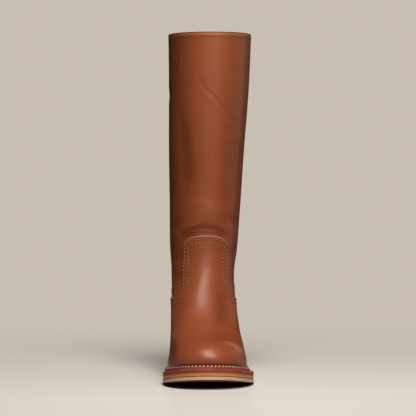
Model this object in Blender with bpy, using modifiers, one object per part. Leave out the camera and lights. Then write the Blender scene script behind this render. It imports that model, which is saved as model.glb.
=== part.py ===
"""Tall pull-on leather boot for the left foot, built as a bootmaker puts it together.

The frame is in metres with +Z up. The toe points to -Y and the little-toe side is +X.
The origin is on the floor, under the middle of the boot's bounding box.

Every shape comes from one function, upper_points(), which reads the outer surface of the boot
as a stack of closed rings, from the feather line, where the upper meets the welt, up over the toe
and the instep and on to the collar.
"""

import math
from typing import NamedTuple

import bmesh
import bpy
import numpy as np

# Driving dimensions
SOLE_LENGTH = 0.274
BOOT_HEIGHT = 0.383
HEEL_HEIGHT = 0.0484  # floor to the outsole, at the very back
TOE_SPRING = 0.0109  # floor to the outsole, at the tip
SPRING_CURVE = 1.5  # exponent of the rise from the ball to the tip
OUTSOLE = 0.0040
MIDSOLE = 0.0036
WELT = 0.0040
GAP = 0.0003  # between pieces that meet
UPPER_WALL = 0.0022
OVERLAY = 0.0014  # leather of the vamp and the counter
INSOLE_RISE = 0.0030  # how far the insole stands inside the upper

TOE_Y = -SOLE_LENGTH / 2
BACK_Y = SOLE_LENGTH / 2

# The sole seen from the side
SPRING_Y = -0.048  # in front of this the sole curves up to the toe
SHANK_Y = -0.026  # behind this the sole climbs to the heel
BREAST_Y = 0.075  # front face of the heel, at its top
HEEL_SLOPE = 0.071  # the heel seat climbs this much to the back
WELT_TOP = OUTSOLE + GAP + MIDSOLE + GAP + WELT
FEATHER = WELT_TOP + 0.0005  # the upper's bottom edge, above the outsole's underside

# The welt
WELT_LIP = 0.0030  # height of its raised inner lip
WELT_LIP_INNER = 0.0031  # the lip's place, outside the feather line
WELT_LIP_OUTER = 0.0044
WELT_LIP_END = 0.22  # share of the sole's length where the lip begins to rise
WELT_LIP_FADE = 0.10
WELT_CORNER = 0.0008
WELT_STEP = 0.0002
WELT_INNER = -0.0026  # the welt's inner edge lies under the upper's wall
INSOLE_EDGE = WELT_INNER - 0.0005

# The leather pieces on the upper
SEAM_Y = 0.029  # side seam, where vamp and counter meet
SEAM_Z = 0.088  # lowest point of their top edge
TAB_TOP = 0.158
TAB_FOOT_Z = 0.104
TAB_FOOT_X = -0.0036  # middle of the tab at its foot
TAB_HEAD_X = -0.0018  # and at its head
TAB_FOOT_HALF = 0.0240
TAB_HEAD_HALF = 0.0252
TAB_FLARE = 0.0105  # how far each side sweeps out below the tab's foot
TAB_CORNER = 0.0115
TAB_CROWN = 0.0018  # how far the tab's top edge is arched
CROWN_AT = 0.35  # share of the tab's half width where the arch is near its full height
COUNTER_TOP = 0.144
COUNTER_TOP_Y = 0.122  # behind this the counter's top edge is level
COUNTER_HOLD = 1.5  # above 1 its top edge stays low for longer
COUNTER_CORNERS = 14
SIDE_SEAM_WIDTH = 0.0032
SIDE_SEAM_PROUD = 0.0009
SEAM_END = 0.0006  # the side seams stop this far under the collar
HEM = 0.0012  # and the overlays this far above the upper's bottom edge

# The heel
LIFT_TAPER = 0.07  # how far the heel's side leans in, for each metre down
LIFT_INSET = 0.0006  # the heel's top is this much smaller than the outsole
BREAST_LEAN = 0.10  # and its front face, for each metre down
TOP_LIFT = 0.0070
LIFTS = 5
LIFT = 0.0058
LEAST_STEP = 0.002  # no two corners of the heel's outline are nearer than this

FAR = 0.08  # past the boot's sides, for the ends of cutters
RING_SIDES = 46
ROWS_A_SECTION = 2  # rows of faces between two of the foot's sections
SOLE_STATIONS = 34  # corners along each side of the sole
SHARP = math.radians(40)


class Section(NamedTuple):
    """One closed ring round the boot. Lengths are in metres.

    Its front and back points give its height and length. The caps are the lengths of its round
    ends, toe to heel are its half widths at four stations, the four x values place its middle
    line at the back, waist, ball and front, and follow is its share of the sole's profile."""

    front_y: float
    front_z: float
    back_y: float
    back_z: float
    front_cap: float
    back_cap: float
    toe: float
    ball: float
    waist: float
    heel: float
    back_x: float
    waist_x: float
    ball_x: float
    front_x: float
    follow: float


def sole_bottom(y):
    """Height of the outsole's underside above the floor."""
    y = np.asarray(y, float)
    run = np.clip((SPRING_Y - y) / (SPRING_Y - TOE_Y), 0, None)
    toe = TOE_SPRING * run**SPRING_CURVE
    breast_z = HEEL_HEIGHT - HEEL_SLOPE * (BACK_Y - BREAST_Y)
    run = BREAST_Y - SHANK_Y
    u = np.clip((y - SHANK_Y) / run, 0, 1)
    shank = breast_z * (3 * u**2 - 2 * u**3) + HEEL_SLOPE * run * (u**3 - u**2)
    seat = HEEL_SLOPE * np.clip(y - BREAST_Y, 0, None)
    return toe + shank + seat


def feather(y):
    """Height of the upper's bottom edge."""
    return sole_bottom(y) + FEATHER


FOOT = {
    "feather": Section(-0.1270, feather(-0.1270), 0.1310, feather(0.1310), 0.052, 0.040,
                       0.0385, 0.0413, 0.0280, 0.0275, 0.0000, 0.0012, -0.0020, -0.0028, 1.0),
    "bulge": Section(-0.1290, 0.0290, 0.1330, 0.0720, 0.052, 0.042,
                     0.0392, 0.0412, 0.0300, 0.0292, -0.0003, 0.0003, -0.0020, -0.0028, 1.0),
    "toe wall": Section(-0.1270, 0.0370, 0.1345, 0.0840, 0.053, 0.044,
                        0.0382, 0.0398, 0.0318, 0.0300, -0.0008, -0.0012, -0.0020, -0.0028, 1.0),
    "toe crown": Section(-0.1195, 0.0440, 0.1340, 0.0940, 0.056, 0.046,
                         0.0365, 0.0382, 0.0330, 0.0303, -0.0012, -0.0026, -0.0024, -0.0028, 0.95),
    "crest": Section(-0.1060, 0.0478, 0.1325, 0.1040, 0.060, 0.048,
                     0.0350, 0.0368, 0.0336, 0.0305, -0.0016, -0.0036, -0.0028, -0.0028, 0.9),
    "valley": Section(-0.0850, 0.0484, 0.1310, 0.1120, 0.064, 0.050,
                      0.0344, 0.0355, 0.0338, 0.0307, -0.0020, -0.0043, -0.0033, -0.0030, 0.85),
    "vamp": Section(-0.0630, 0.0535, 0.1295, 0.1200, 0.066, 0.052,
                    0.0338, 0.0347, 0.0340, 0.0310, -0.0024, -0.0048, -0.0038, -0.0033, 0.75),
    "low instep": Section(-0.0410, 0.0650, 0.1285, 0.1270, 0.067, 0.054,
                          0.0336, 0.0345, 0.0341, 0.0314, -0.0028, -0.0050, -0.0043, -0.0036, 0.6),
    "instep": Section(-0.0230, 0.0810, 0.1280, 0.1330, 0.066, 0.056,
                      0.0338, 0.0346, 0.0345, 0.0320, -0.0030, -0.0049, -0.0045, -0.0038, 0.4),
    "low throat": Section(-0.0100, 0.1000, 0.1280, 0.1400, 0.065, 0.058,
                          0.0344, 0.0350, 0.0352, 0.0332, -0.0032, -0.0046, -0.0043, -0.0038, 0.25),
    "throat": Section(-0.0020, 0.1240, 0.1285, 0.1480, 0.064, 0.060,
                      0.0363, 0.0369, 0.0371, 0.0355, -0.0034, -0.0038, -0.0037, -0.0036, 0.1),
}


def shaft_section(z, front_y, back_y, half_width, middle_x):
    half_depth = (back_y - front_y) / 2
    return Section(front_y, z, back_y, z, half_depth, half_depth, half_width, half_width,
                   half_width, half_width, middle_x, middle_x, middle_x, middle_x, 0.0)


SHAFT = {
    "tab top": shaft_section(0.160, 0.0003, 0.1290, 0.0388, -0.0030),
    "ankle": shaft_section(0.196, -0.0001, 0.1300, 0.0402, -0.0018),
    "shin": shaft_section(0.250, -0.0025, 0.1320, 0.0424, -0.0004),
    "calf": shaft_section(0.315, -0.0055, 0.1345, 0.0449, 0.0022),
    "collar": shaft_section(BOOT_HEIGHT, -0.0080, 0.1365, 0.0468, 0.0034),
}
SECTIONS = np.array([*FOOT.values(), *SHAFT.values()], float)
ROUNDNESS = 2.15  # exponent of the rings' ends; 2 is an ellipse

# Share of a ring's length, from its back: the four width stations lie between its two ends
WIDTH_STATIONS = (0.0, 0.12, 0.38, 0.70, 0.90, 1.0)
MIDDLE_STATIONS = (0.0, 0.38, 0.70, 1.0)

# How far the sole stands out from the feather line at the width stations, on the side of +X and
# on the side of -X
SOLE_REACH = {1: (0.0060, 0.0060, 0.0068, 0.0090, 0.0094, 0.0100),
              -1: (0.0060, 0.0060, 0.0062, 0.0064, 0.0086, 0.0100)}


def spline(knots, values, at):
    """Natural cubic spline through the rows of values at the knots, read at the places in at."""
    x = np.asarray(knots, float)
    v = np.asarray(values, float)
    step = np.diff(x)
    matrix = np.eye(len(x))
    right = np.zeros_like(v)
    for i in range(1, len(x) - 1):
        matrix[i, i - 1 : i + 2] = step[i - 1], 2 * (step[i - 1] + step[i]), step[i]
        right[i] = 6 * ((v[i + 1] - v[i]) / step[i] - (v[i] - v[i - 1]) / step[i - 1])
    bend = np.linalg.solve(matrix, right)
    at = np.asarray(at, float)
    k = np.clip(np.searchsorted(x, at) - 1, 0, len(x) - 2)
    h = step[k]
    lo, hi = (x[k + 1] - at) / h, (at - x[k]) / h
    if v.ndim > 1:
        h, lo, hi = h[..., None], lo[..., None], hi[..., None]
    curved = ((lo**3 - lo) * bend[k] + (hi**3 - hi) * bend[k + 1]) * h**2 / 6
    return lo * v[k] + hi * v[k + 1] + curved


def ring_levels():
    """Distance up the boot to each section, the mean of the ways along its front and its back."""
    front = np.hypot(*np.diff(SECTIONS[:, :2], axis=0).T)
    back = np.hypot(*np.diff(SECTIONS[:, 2:4], axis=0).T)
    return np.concatenate([[0], np.cumsum((front + back) / 2)])


LEVELS = ring_levels()
TAB_LEVEL = len(FOOT)  # the ring just above the tab and the counter


def cap(distance, length):
    """Share of the full width at a distance from a ring's end."""
    reach = np.clip(1 - distance / length, 0, 1)
    return (1 - reach**ROUNDNESS) ** (1 / ROUNDNESS)


def upper_points(level, angle):
    """Points of the boot's outer surface. Angle 0 is the toe, and it grows to the +X side."""
    level, angle = np.broadcast_arrays(np.asarray(level, float), np.asarray(angle, float))
    row = Section(*np.moveaxis(spline(LEVELS, SECTIONS, level), -1, 0))
    share = (1 + np.cos(angle)) / 2
    length = row.back_y - row.front_y
    y = row.back_y - share * length
    widths = [row.heel, row.heel, row.waist, row.ball, row.toe, row.toe]
    half = read_across(WIDTH_STATIONS, share, widths)
    half = half * cap((1 - share) * length, row.front_cap) * cap(share * length, row.back_cap)
    middle = read_across(MIDDLE_STATIONS, share, [row.back_x, row.waist_x, row.ball_x, row.front_x])
    x = middle + np.sign(np.sin(angle)) * half
    chord = feather(row.back_y) + share * (feather(row.front_y) - feather(row.back_y))
    z = row.back_z + share * (row.front_z - row.back_z) + row.follow * (feather(y) - chord)
    return np.stack([x, y, z], -1)


def read_across(stations, share, values):
    """The spline along each ring through its own values at the stations."""
    weights = spline(stations, np.eye(len(stations)), share)
    return sum(weights[..., i] * value for i, value in enumerate(values))


def normals(level, angle):
    """Outward unit normals of the boot's outer surface."""
    small = 1e-4
    up = upper_points(level + small, angle) - upper_points(level - small, angle)
    round_ = upper_points(level, angle + small) - upper_points(level, angle - small)
    out = np.cross(round_, up)
    return out / np.linalg.norm(out, axis=-1, keepdims=True)


def offset_points(level, angle, offset):
    return upper_points(level, angle) + offset * normals(level, angle)


def ring_angles(count=RING_SIDES):
    """Angles round a ring. The half step keeps clear of the ring's two tips."""
    return (np.arange(count) + 0.5) * 2 * math.pi / count


def sole_rail(side, reach):
    """Plan outline of one side of the sole, from the back to the toe: (x, y) of each station.

    It lies reach(share) outside the feather line, and side is 1 for +X and -1 for -X."""
    turn = np.linspace(math.pi, 0, SOLE_STATIONS)
    level = np.zeros_like(turn)
    inside = np.clip(turn, 1e-3, math.pi - 1e-3)
    points = upper_points(level, side * inside)[:, :2]
    along = np.gradient(points, axis=0)
    out = np.stack([-along[:, 1], along[:, 0]], -1) * side
    out = out / np.linalg.norm(out, axis=-1, keepdims=True)
    share = (1 + np.cos(turn)) / 2
    points = points + out * reach(share, side)[:, None]
    middle_x = upper_points(0.0, np.array([math.pi, 0]))[:, 0]
    points[0, 0], points[-1, 0] = middle_x
    return points


def sole_edge(share, side, inset=0.0):
    """How far the sole's edge stands out from the feather line."""
    return spline(WIDTH_STATIONS, SOLE_REACH[side], share) - inset


def welt_lip(share):
    """The raised inner lip of the storm welt fades out where the heel begins."""
    fade = np.clip((share - WELT_LIP_END) / WELT_LIP_FADE, 0, 1)
    return WELT_LIP * fade**2 * (3 - 2 * fade)


def new_object(name, mesh, material, parent):
    """An object of the boot, shaded smooth but for its sharp edges."""
    mesh.shade_smooth()
    mesh.set_sharp_from_angle(angle=SHARP)
    made = bpy.data.objects.new(name, mesh)
    made.data.materials.append(material)
    made.parent = parent
    bpy.context.scene.collection.children["boot"].objects.link(made)
    return made


def mesh_from(name, points, faces):
    mesh = bpy.data.meshes.new(name)
    mesh.from_pydata([tuple(map(float, p)) for p in points], [], faces)
    mesh.update()
    return mesh


def recalculated(mesh):
    """The closed mesh with its faces turned outwards."""
    work = bmesh.new()
    work.from_mesh(mesh)
    bmesh.ops.recalc_face_normals(work, faces=work.faces)
    work.to_mesh(mesh)
    work.free()
    return mesh


def grid_faces(rows, columns):
    """Quads of a grid that closes round its columns."""
    quads = []
    for i in range(rows - 1):
        for j in range(columns):
            k = (j + 1) % columns
            quads.append((i * columns + j, i * columns + k, (i + 1) * columns + k, (i + 1) * columns + j))
    return quads


def upper_levels():
    """The levels of every leather piece's rows, so that their faces run side by side."""
    foot = LEVELS[: TAB_LEVEL + 1]
    rows = np.linspace(foot[:-1], foot[1:], ROWS_A_SECTION, endpoint=False).T.ravel()
    return np.concatenate([[0, HEM], rows[1:], LEVELS[TAB_LEVEL:]])


def open_tube(name, levels, offset):
    """The upper's surface as an open tube between its first and last level."""
    angles = ring_angles()
    points = offset_points(levels[:, None], angles[None, :], offset).reshape(-1, 3)
    return mesh_from(name, points, grid_faces(len(levels), len(angles)))


def add_wall(made, thickness):
    """A wall that grows inwards from the tube."""
    solid = made.modifiers.new("wall", "SOLIDIFY")
    solid.thickness = thickness
    solid.offset = -1
    return solid


def make_upper(material, parent):
    """Shaft and foot as one hollow wall, open at the collar and underneath."""
    mesh = open_tube("upper", upper_levels(), 0.0)
    made = new_object("upper", mesh, material, parent)
    add_wall(made, UPPER_WALL)
    return made


def overlay_shell(name, first, last, thickness, material, parent):
    """A thin shell a gap outside the upper, still to be cut to its outline."""
    levels = upper_levels()
    levels = levels[(levels >= first) & (levels <= last)]
    mesh = open_tube(name, levels, GAP + thickness)
    made = new_object(name, mesh, material, parent)
    add_wall(made, thickness)
    return made


def keep_inside(made, cutter):
    cut = made.modifiers.new("outline", "BOOLEAN")
    cut.operation = "INTERSECT"
    cut.object = cutter


def prism(name, outline, axis, start, end):
    """A cutter on an outline of (horizontal, z) points, extruded along the X or the Y axis."""
    if axis == "X":
        corners, way = [(start, h, z) for h, z in outline], (end - start, 0, 0)
    else:
        corners, way = [(h, start, z) for h, z in outline], (0, end - start, 0)
    work = bmesh.new()
    face = work.faces.new([work.verts.new(c) for c in corners])
    made = bmesh.ops.extrude_face_region(work, geom=[face])["geom"]
    moved = [g for g in made if isinstance(g, bmesh.types.BMVert)]
    bmesh.ops.translate(work, vec=way, verts=moved)
    bmesh.ops.recalc_face_normals(work, faces=work.faces)
    mesh = bpy.data.meshes.new(name)
    work.to_mesh(mesh)
    work.free()
    cutter = bpy.data.objects.new(name, mesh)
    cutter.hide_render = True
    cutter.display_type = "WIRE"
    bpy.context.scene.collection.children["cutters"].objects.link(cutter)
    return cutter


def arc(centre, radius_x, radius_z, start, end, count=7):
    """Points of an elliptical arc between two angles in degrees."""
    turn = np.radians(np.linspace(start, end, count))
    return [(centre[0] + radius_x * math.cos(a), centre[1] + radius_z * math.sin(a)) for a in turn]


def vamp_outline():
    """Front view of the vamp: the foot below, the tall tab with round corners above."""
    drop = TAB_FOOT_Z - SEAM_Z
    shoulder = TAB_TOP - TAB_CROWN - TAB_CORNER
    sides = []
    for side in (1, -1):
        foot = side * (TAB_FOOT_HALF + TAB_FLARE) + TAB_FOOT_X
        head = side * (TAB_HEAD_HALF - TAB_CORNER) + TAB_HEAD_X
        sweep = arc((foot, TAB_FOOT_Z), -side * TAB_FLARE, -drop, 90, 0)
        corner = arc((head, shoulder), side * TAB_CORNER, TAB_CORNER, 0, 75)
        crown = (TAB_HEAD_X + side * CROWN_AT * TAB_HEAD_HALF, TAB_TOP - CROWN_AT**2 * TAB_CROWN)
        edge = [(side * FAR, -FAR), (side * FAR, SEAM_Z)]
        sides.append([*edge, *sweep, *corner, crown])
    return [*sides[0], (TAB_HEAD_X, TAB_TOP), *reversed(sides[1])]


def counter_outline():
    """Side view of the counter: its top edge climbs from the side seam to the back."""
    start = SEAM_Y + 2 * GAP
    share = np.linspace(0, 1, COUNTER_CORNERS)
    rise = (share**2 * (3 - 2 * share)) ** COUNTER_HOLD
    edge_y = start + share * (COUNTER_TOP_Y - start)
    edge_z = SEAM_Z + rise * (COUNTER_TOP - SEAM_Z)
    edge = list(zip(edge_y, edge_z))
    return [(2 * FAR, -FAR), (2 * FAR, COUNTER_TOP), *reversed(edge), (start, -FAR)]


def make_vamp(material, parent):
    """Forepart of the foot with its tall tab."""
    made = overlay_shell("vamp", HEM, LEVELS[TAB_LEVEL + 1], OVERLAY, material, parent)
    keep_inside(made, prism("vamp_cutter", vamp_outline(), "Y", 2 * TOE_Y, SEAM_Y))
    return made


def make_counter(material, parent):
    """Leather round the heel, from side seam to side seam."""
    made = overlay_shell("counter", HEM, LEVELS[TAB_LEVEL], OVERLAY, material, parent)
    keep_inside(made, prism("counter_cutter", counter_outline(), "X", -FAR, FAR))
    return made


def make_side_seam(side, material, parent):
    """Raised seam up one side of the shaft."""
    word = "lateral" if side > 0 else "medial"
    name = f"side_seam_{word}"
    first = LEVELS[list(FOOT).index("valley")]
    made = overlay_shell(name, first, LEVELS[-1], SIDE_SEAM_PROUD, material, parent)
    half = SIDE_SEAM_WIDTH / 2
    low, high = SEAM_Z + 2 * GAP, BOOT_HEIGHT - SEAM_END
    outline = [(y, z) for y in (SEAM_Y - half, SEAM_Y + half) for z in (low, high)]
    outline = [outline[0], outline[2], outline[3], outline[1]]
    keep_inside(made, prism(f"{name}_cutter", outline, "X", 0, side * FAR))
    return made


def plan_loop(reach):
    """Closed plan outline of the sole, anticlockwise from the back, from its two rails."""
    right, left = sole_rail(1, reach), sole_rail(-1, reach)
    return np.concatenate([right, left[-2:0:-1]])


def slab(name, reach, low, high, material, parent):
    """A full layer of the sole between two heights above the outsole's underside.

    Its two faces are strips that run from one side of the boot to the other."""
    loop = plan_loop(reach)
    count = len(loop)
    points = [(x, y, sole_bottom(y) + z) for z in (low, high) for x, y in loop]
    faces = grid_faces(2, count)
    for first in (0, count):
        for i in range(count // 2):
            corners = (i, (count - i) % count, count - i - 1, i + 1)
            faces.append([first + c for c in dict.fromkeys(corners)])
    return new_object(name, recalculated(mesh_from(name, points, faces)), material, parent)


def make_welt(material, parent):
    """Storm welt: a strip round the sole's edge with a raised lip against the upper."""
    low = OUTSOLE + GAP + MIDSOLE + GAP
    turn = np.linspace(math.pi, 0, SOLE_STATIONS)
    share = (1 + np.cos(turn)) / 2
    share = np.concatenate([share, share[-2:0:-1]])
    lip = WELT_TOP + welt_lip(share)
    profile = (
        (sole_edge, low),
        (sole_edge, WELT_TOP - WELT_CORNER),
        (lambda s, side: sole_edge(s, side, WELT_CORNER), WELT_TOP),
        (lambda s, side: np.full_like(s, WELT_LIP_OUTER), lip),
        (lambda s, side: np.full_like(s, WELT_LIP_INNER), lip),
        (lambda s, side: np.full_like(s, WELT_LIP_INNER - WELT_STEP), WELT_TOP),
        (lambda s, side: np.full_like(s, WELT_INNER), WELT_TOP),
        (lambda s, side: np.full_like(s, WELT_INNER), low),
    )
    points = []
    for reach, height in profile:
        loop = plan_loop(reach)
        points.append(np.column_stack([loop, sole_bottom(loop[:, 1]) + height]))
    count = len(share)
    points = np.concatenate(points)
    faces = grid_faces(len(profile), count)
    last = (len(profile) - 1) * count
    faces += [(last + i, last + (i + 1) % count, (i + 1) % count, i) for i in range(count)]
    return new_object("welt", recalculated(mesh_from("welt", points, faces)), material, parent)


def heel_loop(z):
    """Plan outline of the heel at a height: the sole's outline, leaning in on the way down."""
    down = HEEL_HEIGHT - z
    inset = LIFT_INSET + LIFT_TAPER * down
    breast = BREAST_Y + BREAST_LEAN * down
    sides = []
    for side in (1, -1):
        rail = sole_rail(side, lambda s, d: sole_edge(s, d, inset))
        corner_x = np.interp(-breast, -rail[:, 1], rail[:, 0])
        kept = [tuple(p) for p in rail if p[1] > breast + LEAST_STEP]
        sides.append([*kept, (corner_x, breast)])
    return np.array([*sides[0], *sides[1][:0:-1]])


def make_lift(name, low, high, material, parent):
    """One layer of the heel. Without a top height it is the wedge that meets the outsole."""
    bottom = heel_loop(low)
    top = heel_loop(high or HEEL_HEIGHT)
    top_z = np.full(len(top), high) if high else sole_bottom(top[:, 1]) - GAP
    points = [*np.column_stack([bottom, np.full(len(bottom), low)]), *np.column_stack([top, top_z])]
    count = len(bottom)
    faces = grid_faces(2, count)
    faces += [list(range(count)), list(range(count, 2 * count))]
    return new_object(name, recalculated(mesh_from(name, points, faces)), material, parent)


def make_heel(leather, rubber, parent):
    """A stacked heel: rubber top lift on the floor, leather lifts, and a wedge under the outsole."""
    make_lift("top_lift", 0.0, TOP_LIFT, rubber, parent)
    z = TOP_LIFT + GAP
    for number in range(1, LIFTS + 1):
        make_lift(f"heel_lift_{number}", z, z + LIFT, leather, parent)
        z += LIFT + GAP
    make_lift("heel_wedge", z, None, leather, parent)


def make_sole(sole_leather, midsole_leather, welt_leather, board, parent):
    """Outsole, midsole, welt and insole, from the floor up."""
    slab("outsole", sole_edge, 0.0, OUTSOLE, sole_leather, parent)
    bottom = OUTSOLE + GAP
    slab("midsole", lambda s, d: sole_edge(s, d, 0.0003), bottom, bottom + MIDSOLE, midsole_leather, parent)
    make_welt(welt_leather, parent)
    above = bottom + MIDSOLE + GAP
    slab("insole", lambda s, d: np.full_like(s, INSOLE_EDGE), above, FEATHER + INSOLE_RISE, board, parent)


def leather(name, colour, roughness):
    made = bpy.data.materials.new(name)
    made.use_nodes = True
    shader = made.node_tree.nodes["Principled BSDF"]
    shader.inputs["Base Color"].default_value = (*colour, 1)
    shader.inputs["Roughness"].default_value = roughness
    made.diffuse_color = (*colour, 1)
    return made


def start_scene():
    for old in list(bpy.data.objects):
        bpy.data.objects.remove(old)
    for name in ("boot", "cutters"):
        bpy.context.scene.collection.children.link(bpy.data.collections.new(name))
    bpy.context.scene.collection.children["cutters"].hide_render = True
    parent = bpy.data.objects.new("boot_frame", None)
    bpy.context.scene.collection.children["boot"].objects.link(parent)
    return parent


def main():
    parent = start_scene()
    upper_leather = leather("upper_leather", (0.28, 0.085, 0.032), 0.42)
    welt_leather = leather("welt_leather", (0.20, 0.055, 0.028), 0.5)
    midsole_leather = leather("midsole_leather", (0.38, 0.16, 0.07), 0.6)
    sole_leather = leather("sole_leather", (0.56, 0.33, 0.17), 0.6)
    heel_leather = leather("heel_leather", (0.30, 0.13, 0.06), 0.5)
    rubber = leather("heel_rubber", (0.035, 0.022, 0.016), 0.7)
    board = leather("insole_board", (0.45, 0.27, 0.15), 0.7)
    make_upper(upper_leather, parent)
    make_vamp(upper_leather, parent)
    make_counter(upper_leather, parent)
    for side in (1, -1):
        make_side_seam(side, upper_leather, parent)
    make_sole(sole_leather, midsole_leather, welt_leather, board, parent)
    make_heel(heel_leather, rubber, parent)


main()
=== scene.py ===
"""Tall pull-on leather boot for the left foot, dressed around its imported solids.

The frame is in metres with +Z up. The toe points to -Y and the little-toe side is +X. Every piece
of leather reads the same outer surface, upper_points(), with the folds of RELIEF laid over it.
"""

import math
from collections import namedtuple
from typing import NamedTuple

import bpy
import numpy as np
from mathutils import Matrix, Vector


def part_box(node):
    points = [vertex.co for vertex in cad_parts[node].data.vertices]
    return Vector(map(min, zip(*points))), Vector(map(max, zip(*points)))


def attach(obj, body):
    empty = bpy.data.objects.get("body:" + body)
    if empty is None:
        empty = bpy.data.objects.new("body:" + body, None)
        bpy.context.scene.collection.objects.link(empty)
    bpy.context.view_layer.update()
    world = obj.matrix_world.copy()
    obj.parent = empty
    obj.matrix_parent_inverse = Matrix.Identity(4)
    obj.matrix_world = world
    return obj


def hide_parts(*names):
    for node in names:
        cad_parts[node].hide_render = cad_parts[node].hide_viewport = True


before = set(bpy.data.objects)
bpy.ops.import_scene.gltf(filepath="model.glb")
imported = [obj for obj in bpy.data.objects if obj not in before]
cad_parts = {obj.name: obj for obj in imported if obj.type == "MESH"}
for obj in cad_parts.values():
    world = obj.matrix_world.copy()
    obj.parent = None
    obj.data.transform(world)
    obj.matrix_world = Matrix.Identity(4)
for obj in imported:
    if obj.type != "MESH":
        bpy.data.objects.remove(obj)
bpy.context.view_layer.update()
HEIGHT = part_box("upper")[1].z
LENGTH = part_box("outsole")[1].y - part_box("outsole")[0].y

bl_info = {
    "name": "Tall pull-on boot",
    "version": (1, 0, 0),
    "blender": (4, 5, 0),
    "location": "View3D > Sidebar > Boot",
    "description": "Dresses the solids of a tall boot in leather, seams and layered soles",
    "category": "Add Mesh",
}

# Sizes shared with the solids
HEEL_HEIGHT = 0.0484
TOE_SPRING = 0.0109
SPRING_CURVE = 1.5
OUTSOLE = 0.0040
MIDSOLE = 0.0036
MIDSOLE_INSET = 0.0003
WELT = 0.0040
GAP = 0.0003
UPPER_WALL = 0.0022
OVERLAY = 0.0014
INSOLE_RISE = 0.0030
TOE_Y = -LENGTH / 2
BACK_Y = LENGTH / 2
SPRING_Y = -0.048
SHANK_Y = -0.026
BREAST_Y = 0.075
HEEL_SLOPE = 0.071
WELT_TOP = OUTSOLE + GAP + MIDSOLE + GAP + WELT
FEATHER = WELT_TOP + 0.0005
WELT_LIP = 0.0030
WELT_LIP_INNER = 0.0031
WELT_LIP_OUTER = 0.0044
WELT_LIP_END = 0.22
WELT_LIP_FADE = 0.10
WELT_INNER = -0.0026
INSOLE_EDGE = WELT_INNER - 0.0005
SEAM_Y = 0.029
SEAM_Z = 0.088
TAB_TOP = 0.158
TAB_FOOT_Z = 0.104
TAB_FOOT_X = -0.0036
TAB_HEAD_X = -0.0018
TAB_FOOT_HALF = 0.0240
TAB_HEAD_HALF = 0.0252
TAB_FLARE = 0.0105
TAB_SHOULDER = 0.1447
COUNTER_TOP = 0.144
COUNTER_TOP_Y = 0.122
COUNTER_HOLD = 1.5
SIDE_SEAM_WIDTH = 0.0032
SIDE_SEAM_PROUD = 0.0009
SIDE_SEAM_CROWN = (0.15, 0.4, 0.5, 0.4, 0.15)
SEAM_END = 0.0006
HEM = 0.0012
LIFT_TAPER = 0.07
LIFT_INSET = 0.0006
BREAST_LEAN = 0.10
TOP_LIFT = 0.0070
LIFTS = 5
LIFT = 0.0058
ROUNDNESS = 2.15

# Fineness of the meshes
SHAFT_COLUMNS = 216
SHAFT_ROWS = 300
LINING_ROWS = 60
VAMP_ROWS = 120
SWEEP_COLUMNS = 30
TAB_COLUMNS = 61
TAB_ROWS = 42
COUNTER_COLUMNS = 170
COUNTER_ROWS = 72
SIDE_SEAM_ROWS = 190
SOLE_STATIONS = 150
HEEL_SIDE_POINTS = 60
HEEL_FRONT_POINTS = 12
FOLD_NET = (420, 240)
OFF_MIDDLE = 1e-3  # an angle just off the middle line, where the two sides meet

# How places on the upper are found: by halving, and from the front by Newton's steps, which
# start from a round front of this radius
HALVINGS = 26
FRONT_STEPS = 14
FRONT_RADIUS = 0.042
STEP = 1e-5

# Finish of the cut leather
EDGE_ROLL = 0.0008
QUARTER_TURN = np.linspace(0, math.pi / 2, 4)  # the steps in which an edge is rolled over
COLLAR_ROLL = 0.0006
SKIN = 0.0015  # the outer leather's share of the upper's wall
LINING_DROP = 0.0012
LINING_GAP = 0.00004
SOLE_CORNER = 0.0004
EDGE_CORNER = 0.0003
SOCK_CORNER = 0.0006
LIFT_CORNER = 0.00022
WELT_SHADE_TOP = 0.0098  # painted shade: darker leather up to here, just above the welt
WELT_SHADE_FADE = 0.0020

# A fold's reach and the bank beside it, in widths. Its depth follows half a wave along its path,
# which starts a little way in, so that its ends are not quite gone
FOLD_REACH = 4
FOLD_START = 0.06
FOLD_FULLNESS = 0.8
BANK_PLACE = 2.1
BANK_WIDTH = 0.9

# A thread's height in widths, how thin its ends are, and how deep they dive in heights
THREAD_HEIGHT = 0.8
THREAD_PINCH = 0.92
THREAD_DIVE = 0.35

# A stitch: the share of its pitch that the thread covers, the thread's rise and the needle
# hole's radius in widths, and the thread's rings and sides
UPPER_STITCH = (0.62, 0.16, 0.66, 7, 8)
WELT_STITCH = (0.72, 0.12, 0.6, 9, 10)
SEAM_STITCH = (0.0028, 0.00055)  # pitch and width
SEAM_STITCH_OFF = 0.0030
SEAM_STITCH_START = 0.004  # above the side seam's foot
SEAM_STITCH_STOP = 0.002  # below the collar's row
COLLAR_ROW = 0.0056  # from the collar's edge to its row of stitches
OUTER_CORNER = 0.0095
INNER_CORNER = 0.0055
COUNTER_INNER_ROW = 0.0048
# The tab's thread is darker below this height
DARKEN_TOP = 0.108
DARKEN_FADE = 0.012
WELT_STITCH_INSET = 0.0007
WELT_STITCH_LEAN = 0.30
# The welt's thread darkens away from the toe: painted shade of its slanting stitches at the sides
WELT_THREAD_SHADE = 0.75
WELT_THREAD_SHADE_START = 0.022
WELT_THREAD_SHADE_FADE = 0.010

# Points on the rows of stitches
SWEEP_POINTS = 60
RISE_POINTS = 40
HEAD_POINTS = 160
COUNTER_POINTS = 300
UPRIGHT_POINTS = 240
COLLAR_POINTS = 500

# The dark line along the inside of the vamp's and the counter's edges: painted shade of the groove
# there
LINE_INSET = 0.0013
LINE_TOP = 0.0019
LINE_CORNER = 0.0112
LINE_WIDTH = 0.0005

# The camera looks this far below the middle of the boot's height
AIM_DROP = 0.003


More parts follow.
